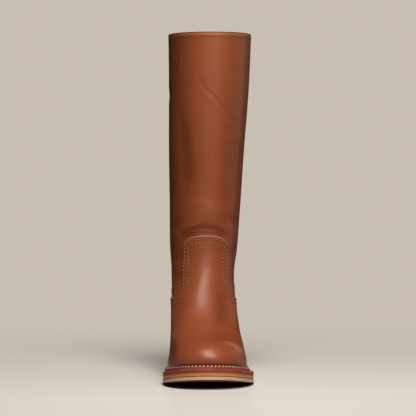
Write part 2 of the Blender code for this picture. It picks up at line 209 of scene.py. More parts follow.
# One closed ring round the boot: its front and back points, the lengths of its round ends, half
# widths at four stations, x of its middle line at the back, waist, ball and front, and its share
# of the sole's profile
Section = namedtuple("Section", (
    "front_y", "front_z", "back_y", "back_z", "front_cap", "back_cap",
    "toe", "ball", "waist", "heel", "back_x", "waist_x", "ball_x", "front_x", "follow"))


def ease(share):
    """From 0 to 1 with a soft start and a soft end."""
    return share**2 * (3 - 2 * share)


def sole_bottom(y):
    """Height of the outsole's underside above the floor."""
    y = np.asarray(y, float)
    toe = TOE_SPRING * np.clip((SPRING_Y - y) / (SPRING_Y - TOE_Y), 0, None) ** SPRING_CURVE
    breast_z = HEEL_HEIGHT - HEEL_SLOPE * (BACK_Y - BREAST_Y)
    run = BREAST_Y - SHANK_Y
    u = np.clip((y - SHANK_Y) / run, 0, 1)
    shank = breast_z * ease(u) + HEEL_SLOPE * run * (u**3 - u**2)
    return toe + shank + HEEL_SLOPE * np.clip(y - BREAST_Y, 0, None)


def feather(y):
    """Height of the upper's bottom edge."""
    return sole_bottom(y) + FEATHER


FOOT = {
    "feather": (-0.1270, feather(-0.1270), 0.1310, feather(0.1310), 0.052, 0.040,
        0.0385, 0.0413, 0.0280, 0.0275, 0.0000, 0.0012, -0.0020, -0.0028, 1.0),
    "bulge": (-0.1290, 0.0290, 0.1330, 0.0720, 0.052, 0.042,
        0.0392, 0.0412, 0.0300, 0.0292, -0.0003, 0.0003, -0.0020, -0.0028, 1.0),
    "toe wall": (-0.1270, 0.0370, 0.1345, 0.0840, 0.053, 0.044,
        0.0382, 0.0398, 0.0318, 0.0300, -0.0008, -0.0012, -0.0020, -0.0028, 1.0),
    "toe crown": (-0.1195, 0.0440, 0.1340, 0.0940, 0.056, 0.046,
        0.0365, 0.0382, 0.0330, 0.0303, -0.0012, -0.0026, -0.0024, -0.0028, 0.95),
    "crest": (-0.1060, 0.0478, 0.1325, 0.1040, 0.060, 0.048,
        0.0350, 0.0368, 0.0336, 0.0305, -0.0016, -0.0036, -0.0028, -0.0028, 0.9),
    "valley": (-0.0850, 0.0484, 0.1310, 0.1120, 0.064, 0.050,
        0.0344, 0.0355, 0.0338, 0.0307, -0.0020, -0.0043, -0.0033, -0.0030, 0.85),
    "vamp": (-0.0630, 0.0535, 0.1295, 0.1200, 0.066, 0.052,
        0.0338, 0.0347, 0.0340, 0.0310, -0.0024, -0.0048, -0.0038, -0.0033, 0.75),
    "low instep": (-0.0410, 0.0650, 0.1285, 0.1270, 0.067, 0.054,
        0.0336, 0.0345, 0.0341, 0.0314, -0.0028, -0.0050, -0.0043, -0.0036, 0.6),
    "instep": (-0.0230, 0.0810, 0.1280, 0.1330, 0.066, 0.056,
        0.0338, 0.0346, 0.0345, 0.0320, -0.0030, -0.0049, -0.0045, -0.0038, 0.4),
    "low throat": (-0.0100, 0.1000, 0.1280, 0.1400, 0.065, 0.058,
        0.0344, 0.0350, 0.0352, 0.0332, -0.0032, -0.0046, -0.0043, -0.0038, 0.25),
    "throat": (-0.0020, 0.1240, 0.1285, 0.1480, 0.064, 0.060,
        0.0363, 0.0369, 0.0371, 0.0355, -0.0034, -0.0038, -0.0037, -0.0036, 0.1),
}


def shaft_section(z, front_y, back_y, half_width, middle_x):
    half_depth = (back_y - front_y) / 2
    widths, middles = [half_width] * 4, [middle_x] * 4
    return front_y, z, back_y, z, half_depth, half_depth, *widths, *middles, 0.0


SHAFT = {
    "tab top": shaft_section(0.160, 0.0003, 0.1290, 0.0388, -0.0030),
    "ankle": shaft_section(0.196, -0.0001, 0.1300, 0.0402, -0.0018),
    "shin": shaft_section(0.250, -0.0025, 0.1320, 0.0424, -0.0004),
    "calf": shaft_section(0.315, -0.0055, 0.1345, 0.0449, 0.0022),
    "collar": shaft_section(HEIGHT, -0.0080, 0.1365, 0.0468, 0.0034),
}
SECTIONS = np.array([*FOOT.values(), *SHAFT.values()], float)
WIDTH_STATIONS = (0.0, 0.12, 0.38, 0.70, 0.90, 1.0)
MIDDLE_STATIONS = (0.0, 0.38, 0.70, 1.0)
SOLE_REACH = {1: (0.0060, 0.0060, 0.0068, 0.0090, 0.0094, 0.0100),
              -1: (0.0060, 0.0060, 0.0062, 0.0064, 0.0086, 0.0100)}


def spline(knots, values, at):
    """Natural cubic spline through the rows of values at the knots, read at the places in at."""
    x = np.asarray(knots, float)
    v = np.asarray(values, float)
    step = np.diff(x)
    matrix = np.eye(len(x))
    right = np.zeros_like(v)
    for i in range(1, len(x) - 1):
        matrix[i, i - 1 : i + 2] = step[i - 1], 2 * (step[i - 1] + step[i]), step[i]
        right[i] = 6 * ((v[i + 1] - v[i]) / step[i] - (v[i] - v[i - 1]) / step[i - 1])
    bend = np.linalg.solve(matrix, right)
    at = np.asarray(at, float)
    k = np.clip(np.searchsorted(x, at) - 1, 0, len(x) - 2)
    h = step[k]
    lo, hi = (x[k + 1] - at) / h, (at - x[k]) / h
    if v.ndim > 1:
        h, lo, hi = h[..., None], lo[..., None], hi[..., None]
    curved = ((lo**3 - lo) * bend[k] + (hi**3 - hi) * bend[k + 1]) * h**2 / 6
    return lo * v[k] + hi * v[k + 1] + curved


def unit(vectors):
    """The vectors at a length of 1."""
    return vectors / np.linalg.norm(vectors, axis=-1, keepdims=True)


def run_along(path):
    """Distance along a path to each of its points."""
    return np.concatenate([[0], np.cumsum(np.linalg.norm(np.diff(path, axis=0), axis=1))])


def read_along(run, values, at):
    """Rows of values along a path, read at distances along it."""
    return np.stack([np.interp(at, run, column) for column in values.T], -1)


def ring_levels():
    """Distance up the boot to each section, the mean of the ways along its front and its back."""
    front = np.hypot(*np.diff(SECTIONS[:, :2], axis=0).T)
    back = np.hypot(*np.diff(SECTIONS[:, 2:4], axis=0).T)
    return np.concatenate([[0], np.cumsum((front + back) / 2)])


LEVELS = ring_levels()
TOP = LEVELS[-1]


def section_at(level):
    return Section(*np.moveaxis(spline(LEVELS, SECTIONS, level), -1, 0))


def cap(distance, length):
    """Share of the full width at a distance from a ring's end."""
    reach = np.clip(1 - distance / length, 0, 1)
    return (1 - reach**ROUNDNESS) ** (1 / ROUNDNESS)


def read_across(stations, share, values):
    """The spline along each ring through its own values at the stations."""
    weights = spline(stations, np.eye(len(stations)), share)
    return sum(weights[..., i] * value for i, value in enumerate(values))


def upper_points(level, angle):
    """Points of the boot's outer surface. Angle 0 is the toe, and it grows to the +X side."""
    level, angle = np.broadcast_arrays(level, angle)
    row = section_at(level)
    share = (1 + np.cos(angle)) / 2
    length = row.back_y - row.front_y
    y = row.back_y - share * length
    widths = [row.heel, row.heel, row.waist, row.ball, row.toe, row.toe]
    half = read_across(WIDTH_STATIONS, share, widths)
    half = half * cap((1 - share) * length, row.front_cap) * cap(share * length, row.back_cap)
    middle = read_across(MIDDLE_STATIONS, share, [row.back_x, row.waist_x, row.ball_x, row.front_x])
    x = middle + np.sign(np.sin(angle)) * half
    chord = feather(row.back_y) + share * (feather(row.front_y) - feather(row.back_y))
    z = row.back_z + share * (row.front_z - row.back_z) + row.follow * (feather(y) - chord)
    return np.stack([x, y, z], -1)


def normals(level, angle):
    """Outward unit normals of the plain outer surface."""
    small = 1e-4
    up = upper_points(level + small, angle) - upper_points(level - small, angle)
    around = upper_points(level, angle + small) - upper_points(level, angle - small)
    return unit(np.cross(around, up))


# Folds and hollows of the worn leather, with painted shade and painted highlights in their colour


class Fold(NamedTuple):
    """A soft trough, or a ridge where its depth is negative, along a path seen from one side.

    Width, depth and path are in millimetres. Path points are (across, height): x from the front
    or the back, and y from the lateral or the medial side. Shade is painted shade: how much the
    colour darkens in the trough. Where it is negative it is a painted highlight, and the colour
    pales. Bank is how high the leather is pushed up beside the trough, as a share of its depth."""

    width: float
    depth: float
    path: tuple
    shade: float = 0.0
    bank: float = 0.0
    seen_from: str = "front"


RELIEF = (
    # The shaft: a slanting crease, a long hollow on the medial side and small dents, with painted
    # shade in the crease and the hollows and a painted highlight on one pale ridge
    Fold(1.7, 0.24,
         ((-15, 346), (-10, 337), (-2.7, 320.7), (6.3, 313.3), (15, 304.3), (25.5, 292.5),
          (32, 283)), 0.65),
    Fold(4.0, -0.18, ((-13, 331), (-3, 313), (8, 303), (20, 290))),
    Fold(1.8, -0.40, ((-29, 361), (-30, 349), (-31.5, 338)), -0.6),
    Fold(12.0, 0.90, ((-31, 305), (-27, 278), (-23, 250), (-21, 225), (-25, 195)), 0.75, 0.1),
    Fold(9.0, 0.70, ((33, 318), (32, 280), (31, 240), (30, 205)), 0.30),
    Fold(6.0, 0.60, ((28, 317), (60, 314), (92, 318)), 0.0, 0.2, "medial"),
    # The leather bulges over the tab and turns in under its own fold. The shade under the fold and
    # in its wrinkles is painted into the colour, two shallow folds are there mostly for their
    # painted shade, and a pale ridge is a painted highlight
    Fold(10.0, -0.95, ((-24, 182), (-8, 186), (6, 185), (20, 181))),
    Fold(4.4, 0.65, ((-30, 156), (-19, 162), (-8, 165), (4, 164.5), (15, 161), (23, 157)), 0.8),
    Fold(5.0, 0.10, ((-28, 159), (-15, 165), (-5, 167.5), (6, 167), (17, 162)), 0.9),
    Fold(3.0, 0.05, ((-24, 157), (-14, 161), (-5, 162), (6, 161.5), (15, 158)), 0.8),
    Fold(0.8, 0.50, ((-31, 158.6), (-20, 163), (-8, 165.2), (4, 164.6), (14, 161.6)), 0.9, 0.2),
    Fold(0.6, -0.26, ((-27, 158.6), (-17, 161.6), (-6, 163.4), (6, 162.8), (16, 159.8)), -0.8),
    Fold(0.7, 0.46, ((-26, 157), (-16, 160), (-6, 161.6), (6, 161), (15, 158.4)), 0.9, 0.2),
    Fold(0.6, 0.34, ((-20, 156.6), (-10, 159.2), (0, 159.8), (9, 158.8)), 0.9, 0.2),
    Fold(0.8, 0.40, ((-31, 162.5), (-23, 165.6), (-14, 167.6)), 0.7, 0.3),
    Fold(0.8, 0.36, ((8, 166), (16, 163.4), (23, 159.4)), 0.7, 0.3),
    Fold(0.9, 0.36, ((-31, 155.4), (-28, 157), (-25, 157.8)), 0.7, 0.4),
    # The instep's ridge leans to the medial side, and painted shade darkens the instep's lateral
    # side
    Fold(12.0, -1.60, ((-4, 124), (-6, 110), (-12, 96), (-20, 82), (-26, 66), (-29, 54))),
    Fold(12.0, 1.30, ((10, 108), (13, 92), (14, 76), (10, 56)), 0.75),
    # The toe's crown; soft creases on both sides of it, paled by painted highlights; and painted
    # shade low on the toe's medial side
    Fold(8.0, -1.00, ((-18, 44.5), (0, 46.5), (16, 44.5))),
    Fold(6.0, -0.80, ((10, 46.5), (18, 45.6), (24, 43.0), (30, 39), (36, 33.5)), -1.15),
    Fold(4.2, -0.35, ((-15, 48), (-26, 46.3), (-36, 43.5)), -0.45),
    Fold(9.0, 0.15, ((-39, 47), (-38, 34), (-35, 20)), 1.0),
    # The ankle creases at the sides and the back, with painted shade in them
    Fold(6.0, 0.75, ((4, 142), (22, 137), (44, 135)), 0.25, 0.1, "lateral"),
    Fold(6.0, 0.60, ((74, 137), (92, 144)), 0.25, 0.1, "lateral"),
    Fold(6.0, 0.80, ((10, 177), (28, 171), (46, 169)), 0.25, 0.1, "lateral"),
    Fold(6.0, 0.70, ((72, 170), (98, 179)), 0.25, 0.1, "lateral"),
    Fold(6.0, 0.75, ((2, 138), (22, 133), (44, 131)), 0.25, 0.1, "medial"),
    Fold(6.0, 0.60, ((74, 134), (92, 141)), 0.25, 0.1, "medial"),
    Fold(6.0, 0.80, ((10, 173), (30, 167), (48, 165)), 0.25, 0.1, "medial"),
    Fold(6.0, 0.70, ((74, 166), (98, 175)), 0.25, 0.1, "medial"),
    Fold(5.0, 0.80, ((-22, 170), (0, 164), (20, 171)), 0.15, 0.3, "back"),
    Fold(6.0, 0.70, ((-20, 188), (2, 183), (22, 190)), 0.15, 0.3, "back"),
)
# From each side: the axis that runs across, and the way towards the one who looks
SIGHT = {"front": (0, (0, -1, 0)), "back": (0, (0, 1, 0)),
         "lateral": (1, (1, 0, 0)), "medial": (1, (-1, 0, 0))}


def fold_paths():
    """Each fold's path as points on the plain surface, found on a close net of points."""
    rows, columns = FOLD_NET
    level = np.linspace(0, TOP, rows)[:, None]
    angle = np.arange(columns) * 2 * math.pi / columns + OFF_MIDDLE
    points = upper_points(level, angle).reshape(-1, 3)
    facing = normals(level, angle).reshape(-1, 3)
    found = []
    for fold in RELIEF:
        across, towards = SIGHT[fold.seen_from]
        near = points[facing @ np.array(towards, float) > 0.05]
        path = []
        for where, height in fold.path:
            miss = np.hypot(near[:, across] - where / 1000, near[:, 2] - height / 1000)
            path.append(near[miss.argmin()])
        found.append(smooth_path(np.array(path)))
    return found


def smooth_path(path, pieces=4):
    """More points along a spline through the path's own."""
    run = run_along(path)
    return spline(run, path, np.linspace(0, run[-1], pieces * (len(path) - 1) + 1))


FOLD_PATHS = fold_paths()


def relief(points, amount):
    """The folds' shapes at each point, each multiplied by its own amount and added up."""
    flat = points.reshape(-1, 3)
    total = np.zeros(len(flat))
    for fold, path in zip(RELIEF, FOLD_PATHS):
        width = fold.width / 1000
        reach = FOLD_REACH * width
        close = ((flat > path.min(0) - reach) & (flat < path.max(0) + reach)).all(1)
        place = flat[close]
        if not len(place):
            continue
        run = run_along(path)
        best, along = np.full(len(place), np.inf), np.zeros(len(place))
        for i, (start, end) in enumerate(zip(path[:-1], path[1:])):
            way = end - start
            t = np.clip((place - start) @ way / (way @ way), 0, 1)
            gap = np.linalg.norm(place - start - t[:, None] * way, axis=1)
            along = np.where(gap < best, run[i] + t * (run[i + 1] - run[i]), along)
            best = np.minimum(gap, best)
        share = FOLD_START + (1 - 2 * FOLD_START) * along / run[-1]
        taper = np.sin(math.pi * np.clip(share, 0, 1)) ** FOLD_FULLNESS
        d = best / width
        bank = fold.bank * np.exp(-(((d - BANK_PLACE) / BANK_WIDTH) ** 2))
        total[close] += amount(fold) * taper * (np.exp(-(d**2)) - bank)
    return total.reshape(points.shape[:-1])


def surface(level, angle, offset=0.0):
    """Points at an offset from the folded outer surface, and the plain surface's normals."""
    level, angle = np.broadcast_arrays(level, angle)
    plain = upper_points(level, angle)
    out = normals(level, angle)
    strength = bpy.context.scene.boot_folds.strength
    shift = offset - relief(plain, lambda fold: strength * fold.depth / 1000)
    return plain + out * shift[..., None], out


def solve_level(angle_at, height_at):
    """The level in each column where the surface reaches height_at(points), by halving."""
    low = np.zeros_like(angle_at(0.0))
    high = np.full_like(low, TOP)
    for _ in range(HALVINGS):
        middle = (low + high) / 2
        points = upper_points(middle, angle_at(middle))
        over = points[..., 2] > height_at(points)
        low, high = np.where(over, low, middle), np.where(over, middle, high)
    return (low + high) / 2


def from_front(x, z):
    """(level, angle) of the points that show at (x, z) from the front, by Newton's steps."""
    level = np.interp(z, SECTIONS[:, 1], LEVELS)
    angle = np.arcsin(np.clip((x - TAB_FOOT_X) / FRONT_RADIUS, -0.95, 0.95))
    for _ in range(FRONT_STEPS):
        here = upper_points(level, angle)
        up = (upper_points(level + STEP, angle) - here) / STEP
        side = (upper_points(level, angle + STEP) - here) / STEP
        miss_x, miss_z = x - here[..., 0], z - here[..., 2]
        area = up[..., 0] * side[..., 2] - side[..., 0] * up[..., 2]
        climb = (miss_x * side[..., 2] - miss_z * side[..., 0]) / area
        turn = (miss_z * up[..., 0] - miss_x * up[..., 2]) / area
        level, angle = level + np.clip(climb, -0.02, 0.02), angle + np.clip(turn, -0.3, 0.3)
    return level, angle


def angle_at_y(level, y):
    """The angle on the +X side where a ring passes a distance along the boot."""
    row = section_at(level)
    return np.arccos(np.clip(2 * (row.back_y - y) / (row.back_y - row.front_y) - 1, -1, 1))


# Mesh making


def net_faces(net):
    """Quads between points whose numbers stand in the rows and columns of a net."""
    corners = net[:-1, :-1], net[:-1, 1:], net[1:, 1:], net[1:, :-1]
    return np.stack(corners, -1).reshape(-1, 4).tolist()


def grid_faces(rows, columns, closed=True, tube=False):
    """Quads of a grid that may close round its columns, and for a tube round its rows too."""
    net = np.arange(rows * columns).reshape(rows, columns)
    return net_faces(np.pad(net, ((0, int(tube)), (0, int(closed))), "wrap"))


def rod_faces(rows, sides):
    """Quads round a rod, with a face over each of its ends."""
    end = (rows - 1) * sides
    return [*grid_faces(rows, sides), list(range(sides))[::-1], list(range(end, end + sides))]


def joined(parts):
    """One mesh's points and faces from those of several."""
    faces, first = [], 0
    for points, own in parts:
        faces += [[v + first for v in face] for face in own]
        first += len(points)
    return np.concatenate([points for points, _ in parts]), faces


def circle(sides):
    turn = np.arange(sides) * 2 * math.pi / sides
    return np.cos(turn), np.sin(turn)


def add_object(name, data):
    made = bpy.data.objects.new(name, data)
    bpy.context.scene.collection.objects.link(made)
    return made


def make_piece(name, points, faces, material, marks=None, sharp=80, stands_for=None, slot=None):
    """A piece of the boot as an object that rides on the boot's one body."""
    mesh = bpy.data.meshes.new(name)
    mesh.from_pydata(np.asarray(points, float).tolist(), [], faces)
    mesh.update()
    for mark, values in (marks or {}).items():
        layer = mesh.attributes.new(mark, "FLOAT", "POINT")
        layer.data.foreach_set("value", np.asarray(values, np.float32).ravel())
    mesh.shade_smooth()
    mesh.set_sharp_from_angle(angle=math.radians(sharp))
    mesh.materials.append(material)
    made = add_object(name, mesh)
    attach(made, "root")
    if stands_for:
        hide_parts(stands_for)


def make_tube(name, rows, columns, material, stands_for=None):
    """A closed skin round the shaft: its (level, offset) rows run up outside and down inside."""
    angle = (np.arange(columns) + 0.5) * 2 * math.pi / columns
    level, offset = np.array(rows).T[..., None]
    points, _ = surface(level, angle, offset)
    faces = grid_faces(len(rows), columns, tube=True)
    make_piece(name, points.reshape(-1, 3), faces, material,
               {"fold_shading": fold_shading_mark(level, angle)}, 50, stands_for, "upper_leather")


def borders(faces):
    """The closed loops of vertices round the faces, each in the faces' own direction."""
    ways = {(a, b) for face in faces for a, b in zip(face, [*face[1:], face[0]])}
    after = {a: b for a, b in ways if (b, a) not in ways}
    loops = []
    while after:
        start, here = after.popitem()
        loop = [start]
        while here != start:
            loop.append(here)
            here = after.pop(here)
        loops.append(loop)
    return loops


def leather_sheet(name, level, angle, faces, thickness, material, stands_for):
    """A cut piece of leather laid on the upper, closed, with its cut edge rolled over.

    Level and angle place its corners, EDGE_ROLL inside its true outline. The thickness may vary
    from corner to corner. The mark edge is 1 on the cut edge, and fades on the face beside it."""
    base, out = surface(level, angle, GAP)
    count = first = len(base)
    thickness = np.zeros((count, 1)) + np.reshape(thickness, (-1, 1))
    face_edge = np.zeros(count)
    points, cut = [base + out * thickness, base], [face_edge, np.zeros(count)]
    quads = [list(face) for face in faces] + [[v + count for v in face[::-1]] for face in faces]
    for loop in borders(faces):
        corners, up, edge = base[loop], out[loop], thickness[loop]
        away = unit(np.cross(np.roll(corners, -1, axis=0) - np.roll(corners, 1, axis=0), up))
        rolled = [(edge - np.minimum(edge, EDGE_ROLL) * (1 - math.cos(turn)), math.sin(turn))
                  for turn in QUARTER_TURN[1:]]
        rows = [loop]
        for rise, reach in (*rolled, (0, 1)):
            first += len(points[-1])
            points.append(corners + up * rise + away * EDGE_ROLL * reach)
            cut.append(np.ones(len(loop)))
            rows.append(range(first, first + len(loop)))
        rows.append([v + count for v in loop])
        for low, high in zip(rows, rows[1:]):
            quads += [[low[i], low[i - 1], high[i - 1], high[i]] for i in range(len(loop))]
        face_edge[loop] = 0.7
    points = np.concatenate(points)
    fold_shading, low_darkening = np.zeros((2, len(points)))
    fold_shading[:count] = fold_shading_mark(level, angle)
    # painted shade just above the welt, where the upper meets it
    low_darkening[:count] = np.clip((WELT_SHADE_TOP - level) / WELT_SHADE_FADE, 0, 1)
    marks = {"edge": np.concatenate(cut), "fold_shading": fold_shading, "low_darkening": low_darkening}
    make_piece(name, points, quads, material, marks, 50, stands_for, "upper_leather")


def fold_shading_mark(level, angle):
    """Painted shade of the folds: 0 on plain leather, up to 1 in a deep fold and down to -1 on a
    ridge, where it is a painted highlight.
    """
    return np.clip(relief(upper_points(level, angle), lambda fold: fold.shade), -1, 1)


# Outlines of the leather pieces


def up_tab(z, foot, head):
    """A measure of the tab at a height, from its values at the tab's foot and at its shoulder."""
    share = np.clip((z - TAB_FOOT_Z) / (TAB_SHOULDER - TAB_FOOT_Z), 0, 1)
    return foot + share * (head - foot)


def tab_half(z, inset):
    return up_tab(z, TAB_FOOT_HALF, TAB_HEAD_HALF) - inset


def tab_middle(z):
    return up_tab(z, TAB_FOOT_X, TAB_HEAD_X)


def tab_head(s, inset, corner=TAB_TOP - TAB_SHOULDER):
    """Height of the tab's top edge at a share of its half width, rounder on the lateral side."""
    power = np.where(s > 0, 2.3, 3.0)
    return TAB_TOP - inset - corner * (1 - np.sqrt(1 - np.abs(s) ** power))


def sweep_height(x, inset):
    """Height of the vamp's top edge outside the tab, where it sweeps down to the side seam."""
    reach, drop = TAB_FLARE + inset, TAB_FOOT_Z - SEAM_Z + inset
    out = np.clip((TAB_FOOT_HALF + TAB_FLARE - np.abs(x - TAB_FOOT_X)) / reach, 0, 1)
    return TAB_FOOT_Z - drop * np.sqrt(1 - out**2)


def counter_height(y, inset):
    start = SEAM_Y + 2 * GAP
    share = np.clip((y - start) / (COUNTER_TOP_Y - start), 0, 1)
    return SEAM_Z + ease(share) ** COUNTER_HOLD * (COUNTER_TOP - SEAM_Z) - inset


def foot_angle(level, share, inset):
    """The angle at a share of the way from the toe to the side seam, negative on the -X side."""
    return share * angle_at_y(level, SEAM_Y - inset)


def sweep_line(share, inset):
    """(level, angle) of the line inside the vamp's top edge, from the tab to the side seam."""
    level = solve_level(lambda level: foot_angle(level, share, inset),
                        lambda p: sweep_height(p[..., 0], inset))
    return level, foot_angle(level, share, inset)


def counter_angle(level, share, inset):
    """The angle at a share of the way round the back, from one side seam to the other."""
    start = angle_at_y(level, SEAM_Y + 2 * GAP + inset)
    return start + share * (2 * math.pi - 2 * start)


def counter_line(share, inset):
    """(level, angle) of the line inside the counter's top edge."""
    level = solve_level(lambda level: counter_angle(level, share, inset),
                        lambda p: counter_height(p[..., 1], inset))
    return level, counter_angle(level, share, inset)


def up_from_hem(top, rows):
    """Levels in rows from the leather's lower edge up to the top of each column."""
    low = HEM + EDGE_ROLL
    return low + np.linspace(0, 1, rows)[:, None] * (top - low)


def vamp_net():
    """Levels, angles and faces of the vamp: the foot's grid with the tab's grid on top of it."""
    s = np.sin(np.linspace(-1, 1, TAB_COLUMNS) * math.pi / 2)
    x = TAB_FOOT_X + s * tab_half(TAB_FOOT_Z, EDGE_ROLL)
    foot_level, foot_turn = from_front(x, np.full_like(x, TAB_FOOT_Z))
    share = foot_turn / angle_at_y(foot_level, SEAM_Y - EDGE_ROLL)
    more = (np.arange(1, SWEEP_COLUMNS + 1) / SWEEP_COLUMNS) ** 2
    share = np.concatenate([(share[0] + more * (-1 - share[0]))[::-1], share,
                            share[-1] + more * (1 - share[-1])])
    top, _ = sweep_line(share, EDGE_ROLL)
    top[SWEEP_COLUMNS:-SWEEP_COLUMNS] = foot_level
    level = up_from_hem(top, VAMP_ROWS)
    angle = foot_angle(level, share, EDGE_ROLL)
    faces = grid_faces(*level.shape, closed=False)

    climb = np.linspace(0, 1, TAB_ROWS)[1:, None]
    z = TAB_FOOT_Z + climb * (tab_head(s, EDGE_ROLL) - TAB_FOOT_Z)
    tab_level, tab_turn = from_front(tab_middle(z) + s * tab_half(z, EDGE_ROLL), z)
    foot = np.arange(level.size).reshape(level.shape)[-1:, SWEEP_COLUMNS:-SWEEP_COLUMNS]
    tab = level.size + np.arange(tab_level.size).reshape(tab_level.shape)
    faces += net_faces(np.concatenate([foot, tab]))
    level = np.concatenate([level.ravel(), tab_level.ravel()])
    return level, np.concatenate([angle.ravel(), tab_turn.ravel()]), faces


def counter_net():
    """Levels, angles and faces of the counter, from side seam to side seam round the back."""
    share = np.linspace(0, 1, COUNTER_COLUMNS)
    level = up_from_hem(counter_line(share, EDGE_ROLL)[0], COUNTER_ROWS)
    angle = counter_angle(level, share, EDGE_ROLL)
    return level.ravel(), angle.ravel(), grid_faces(*level.shape, closed=False)


def side_seam_net(side):
    """Levels, angles and faces of the raised seam up one side."""
    half = SIDE_SEAM_WIDTH / 2 - EDGE_ROLL
    y = np.linspace(SEAM_Y - half, SEAM_Y + half, len(SIDE_SEAM_CROWN))
    low = solve_level(lambda level: angle_at_y(level, y), lambda _: SEAM_Z + 3 * GAP)
    level = low + np.linspace(0, 1, SIDE_SEAM_ROWS)[:, None] * (TOP - SEAM_END - EDGE_ROLL - low)
    faces = [face[::side] for face in grid_faces(*level.shape, closed=False)]
    return level.ravel(), side * angle_at_y(level, y).ravel(), faces


# Rows of stitches, as (level, angle) paths


def tab_row(edge_inset, top_inset, corner):
    """A row inside the vamp's edge: from side seam up the sweep, round the tab and down again."""
    s = np.sin(np.linspace(-1, 1, HEAD_POINTS) * math.pi / 2)
    z = tab_head(s, top_inset, corner)
    head = from_front(tab_middle(z) + s * tab_half(TAB_SHOULDER, edge_inset), z)
    rise = np.linspace(TAB_FOOT_Z, z[0], RISE_POINTS)[:-1]
    sides = []
    for side in (-1, 1):
        level, angle = from_front(tab_middle(rise) + side * tab_half(rise, edge_inset), rise)
        start = angle[0] / angle_at_y(level[0], SEAM_Y - edge_inset)
        share = start + np.linspace(1, 0.02, SWEEP_POINTS) ** 2 * (side - start)
        sweep = sweep_line(share, edge_inset)
        sides.append(np.concatenate([sweep, (level, angle)], axis=1)[:, ::-side])
    return np.concatenate([sides[0], head, sides[1]], axis=1)


def counter_row(inset):
    return counter_line(np.linspace(0, 1, COUNTER_POINTS), inset)


def upright_row(side, y, low_z, high_z):
    """A straight row up the boot's side at one distance along it."""
    ends = solve_level(lambda level: angle_at_y(level, np.array([y, y])),
                       lambda _: np.array([low_z, high_z]))
    level = np.linspace(*ends, UPRIGHT_POINTS)
    return level, side * angle_at_y(level, y)


def collar_row():
    angle = np.linspace(0, 2 * math.pi, COLLAR_POINTS) + OFF_MIDDLE
    return np.full_like(angle, TOP - COLLAR_ROW), angle


def along_path(points, out, pitch):
    """Evenly spaced places along a path of points, with their ways along it and outwards."""
    run = run_along(points)
    count = max(2, round(run[-1] / pitch))
    at = (np.arange(count) + 0.5) * run[-1] / count
    small = pitch * 0.25
    way = unit(read_along(run, points, at + small) - read_along(run, points, at - small))
    up = read_along(run, out, at)
    up = unit(up - way * (up * way).sum(1, keepdims=True))
    return read_along(run, points, at), way, up, run[-1] / count


def place_shape(shape, faces, centres, way, up):
    """Copies of a small shape, whose x runs along the way and z along up."""
    axes = np.stack([way, np.cross(up, way), up], 1)
    points = (centres[:, None] + shape @ axes).reshape(-1, 3)
    starts = range(0, len(points), len(shape))
    return points, [[v + start for v in face] for start in starts for face in faces]


def thread_shape(length, width, rings, sides):
    """One stitch: a short bulged length of thread that dives into the leather at both ends."""
    height = width * THREAD_HEIGHT
    t = np.linspace(-1, 1, rings)[:, None]
    swell = np.sqrt(1 - np.abs(t) ** 3 * THREAD_PINCH)
    across, up = circle(sides)
    points = np.broadcast_arrays(t * length / 2, swell * across * width / 2,
                                 swell * up * height / 2 - t**2 * height * THREAD_DIVE)
    return np.stack(points, -1).reshape(-1, 3), rod_faces(rings, sides)


def hole_shape(radius, sides=8):
    """A needle hole: a shallow dark dimple that shows beside the thread."""
    rim = np.stack([*circle(sides), np.full(sides, -1 / 8)], -1)
    faces = [[i, (i + 1) % sides, sides] for i in range(sides)]
    faces += [[(i + 1) % sides, i, sides + 1] for i in range(sides)]
    return np.concatenate([rim, [[0, 0, 0.22], [0, 0, -1]]]) * radius, faces


def sew(name, paths, width, look, thread, hole, stain):
    """Stitches along paths of (points, out, pitch), and the needle holes between them.

    The darkening mark is worked out from the stitches' centres, and is 1 where the thread is
    darkest."""
    covers, rise, radius, *fineness = look
    stitches, holes, thread_darkenings = [], [], []
    for points, out, pitch in paths:
        centres, way, up, pitch = along_path(points, out, pitch)
        shape, faces = thread_shape(pitch * covers, width, *fineness)
        stitches.append(place_shape(shape, faces, centres + up * width * rise, way, up))
        thread_darkenings.append(np.repeat(stain(centres), len(shape)))
        between = centres + way * pitch / 2
        holes.append(place_shape(*hole_shape(width * radius), between, way, up))
    make_piece(f"{name}_stitches", *joined(stitches), thread, {"stain": np.concatenate(thread_darkenings)})
    make_piece(f"{name}_needle_holes", *joined(holes), hole)


def make_stitches(name, rows, offset, pitch, width, thread, hole):
    """Joined stitches on (level, angle) rows. Their thread is darker low on the vamp."""
    def stain(centres):
        low_darkening = np.clip((DARKEN_TOP - centres[:, 2]) / DARKEN_FADE, 0, 1)
        return np.where(centres[:, 1] < SEAM_Y, low_darkening, 0)

    paths = [(*surface(level, angle, offset), pitch) for level, angle in rows]
    sew(name, paths, width, UPPER_STITCH, thread, hole, stain)


def make_line(name, rows, offset, width, material, sides=6):
    """A fine dark line of painted shade along (level, angle) rows, as a flat thread half sunk in
    the leather.
    """
    parts = []
    for level, angle in rows:
        path, out = surface(level, angle, offset)
        across = unit(np.cross(out, np.gradient(path, axis=0)))
        x, z = (part[:, None] * width for part in circle(sides))
        ring = across[:, None] * x / 2 + out[:, None] * z / 5
        parts.append(((path[:, None] + ring).reshape(-1, 3), rod_faces(len(path), sides)))
    make_piece(name, *joined(parts), material)


# The sole


def sole_rail(side, reach):
    """Plan outline of one side of the sole, from the back to the toe."""
    turn = np.linspace(math.pi, 0, SOLE_STATIONS)
    inside = np.clip(turn, OFF_MIDDLE, math.pi - OFF_MIDDLE)
    points = upper_points(np.zeros_like(turn), side * inside)[:, :2]
    along = np.gradient(points, axis=0)
    out = unit(np.stack([-along[:, 1], along[:, 0]], -1) * side)
    points = points + out * reach((1 + np.cos(turn)) / 2, side)[:, None]
    points[0, 0], points[-1, 0] = upper_points(0.0, np.array([math.pi, 0]))[:, 0]
    return points


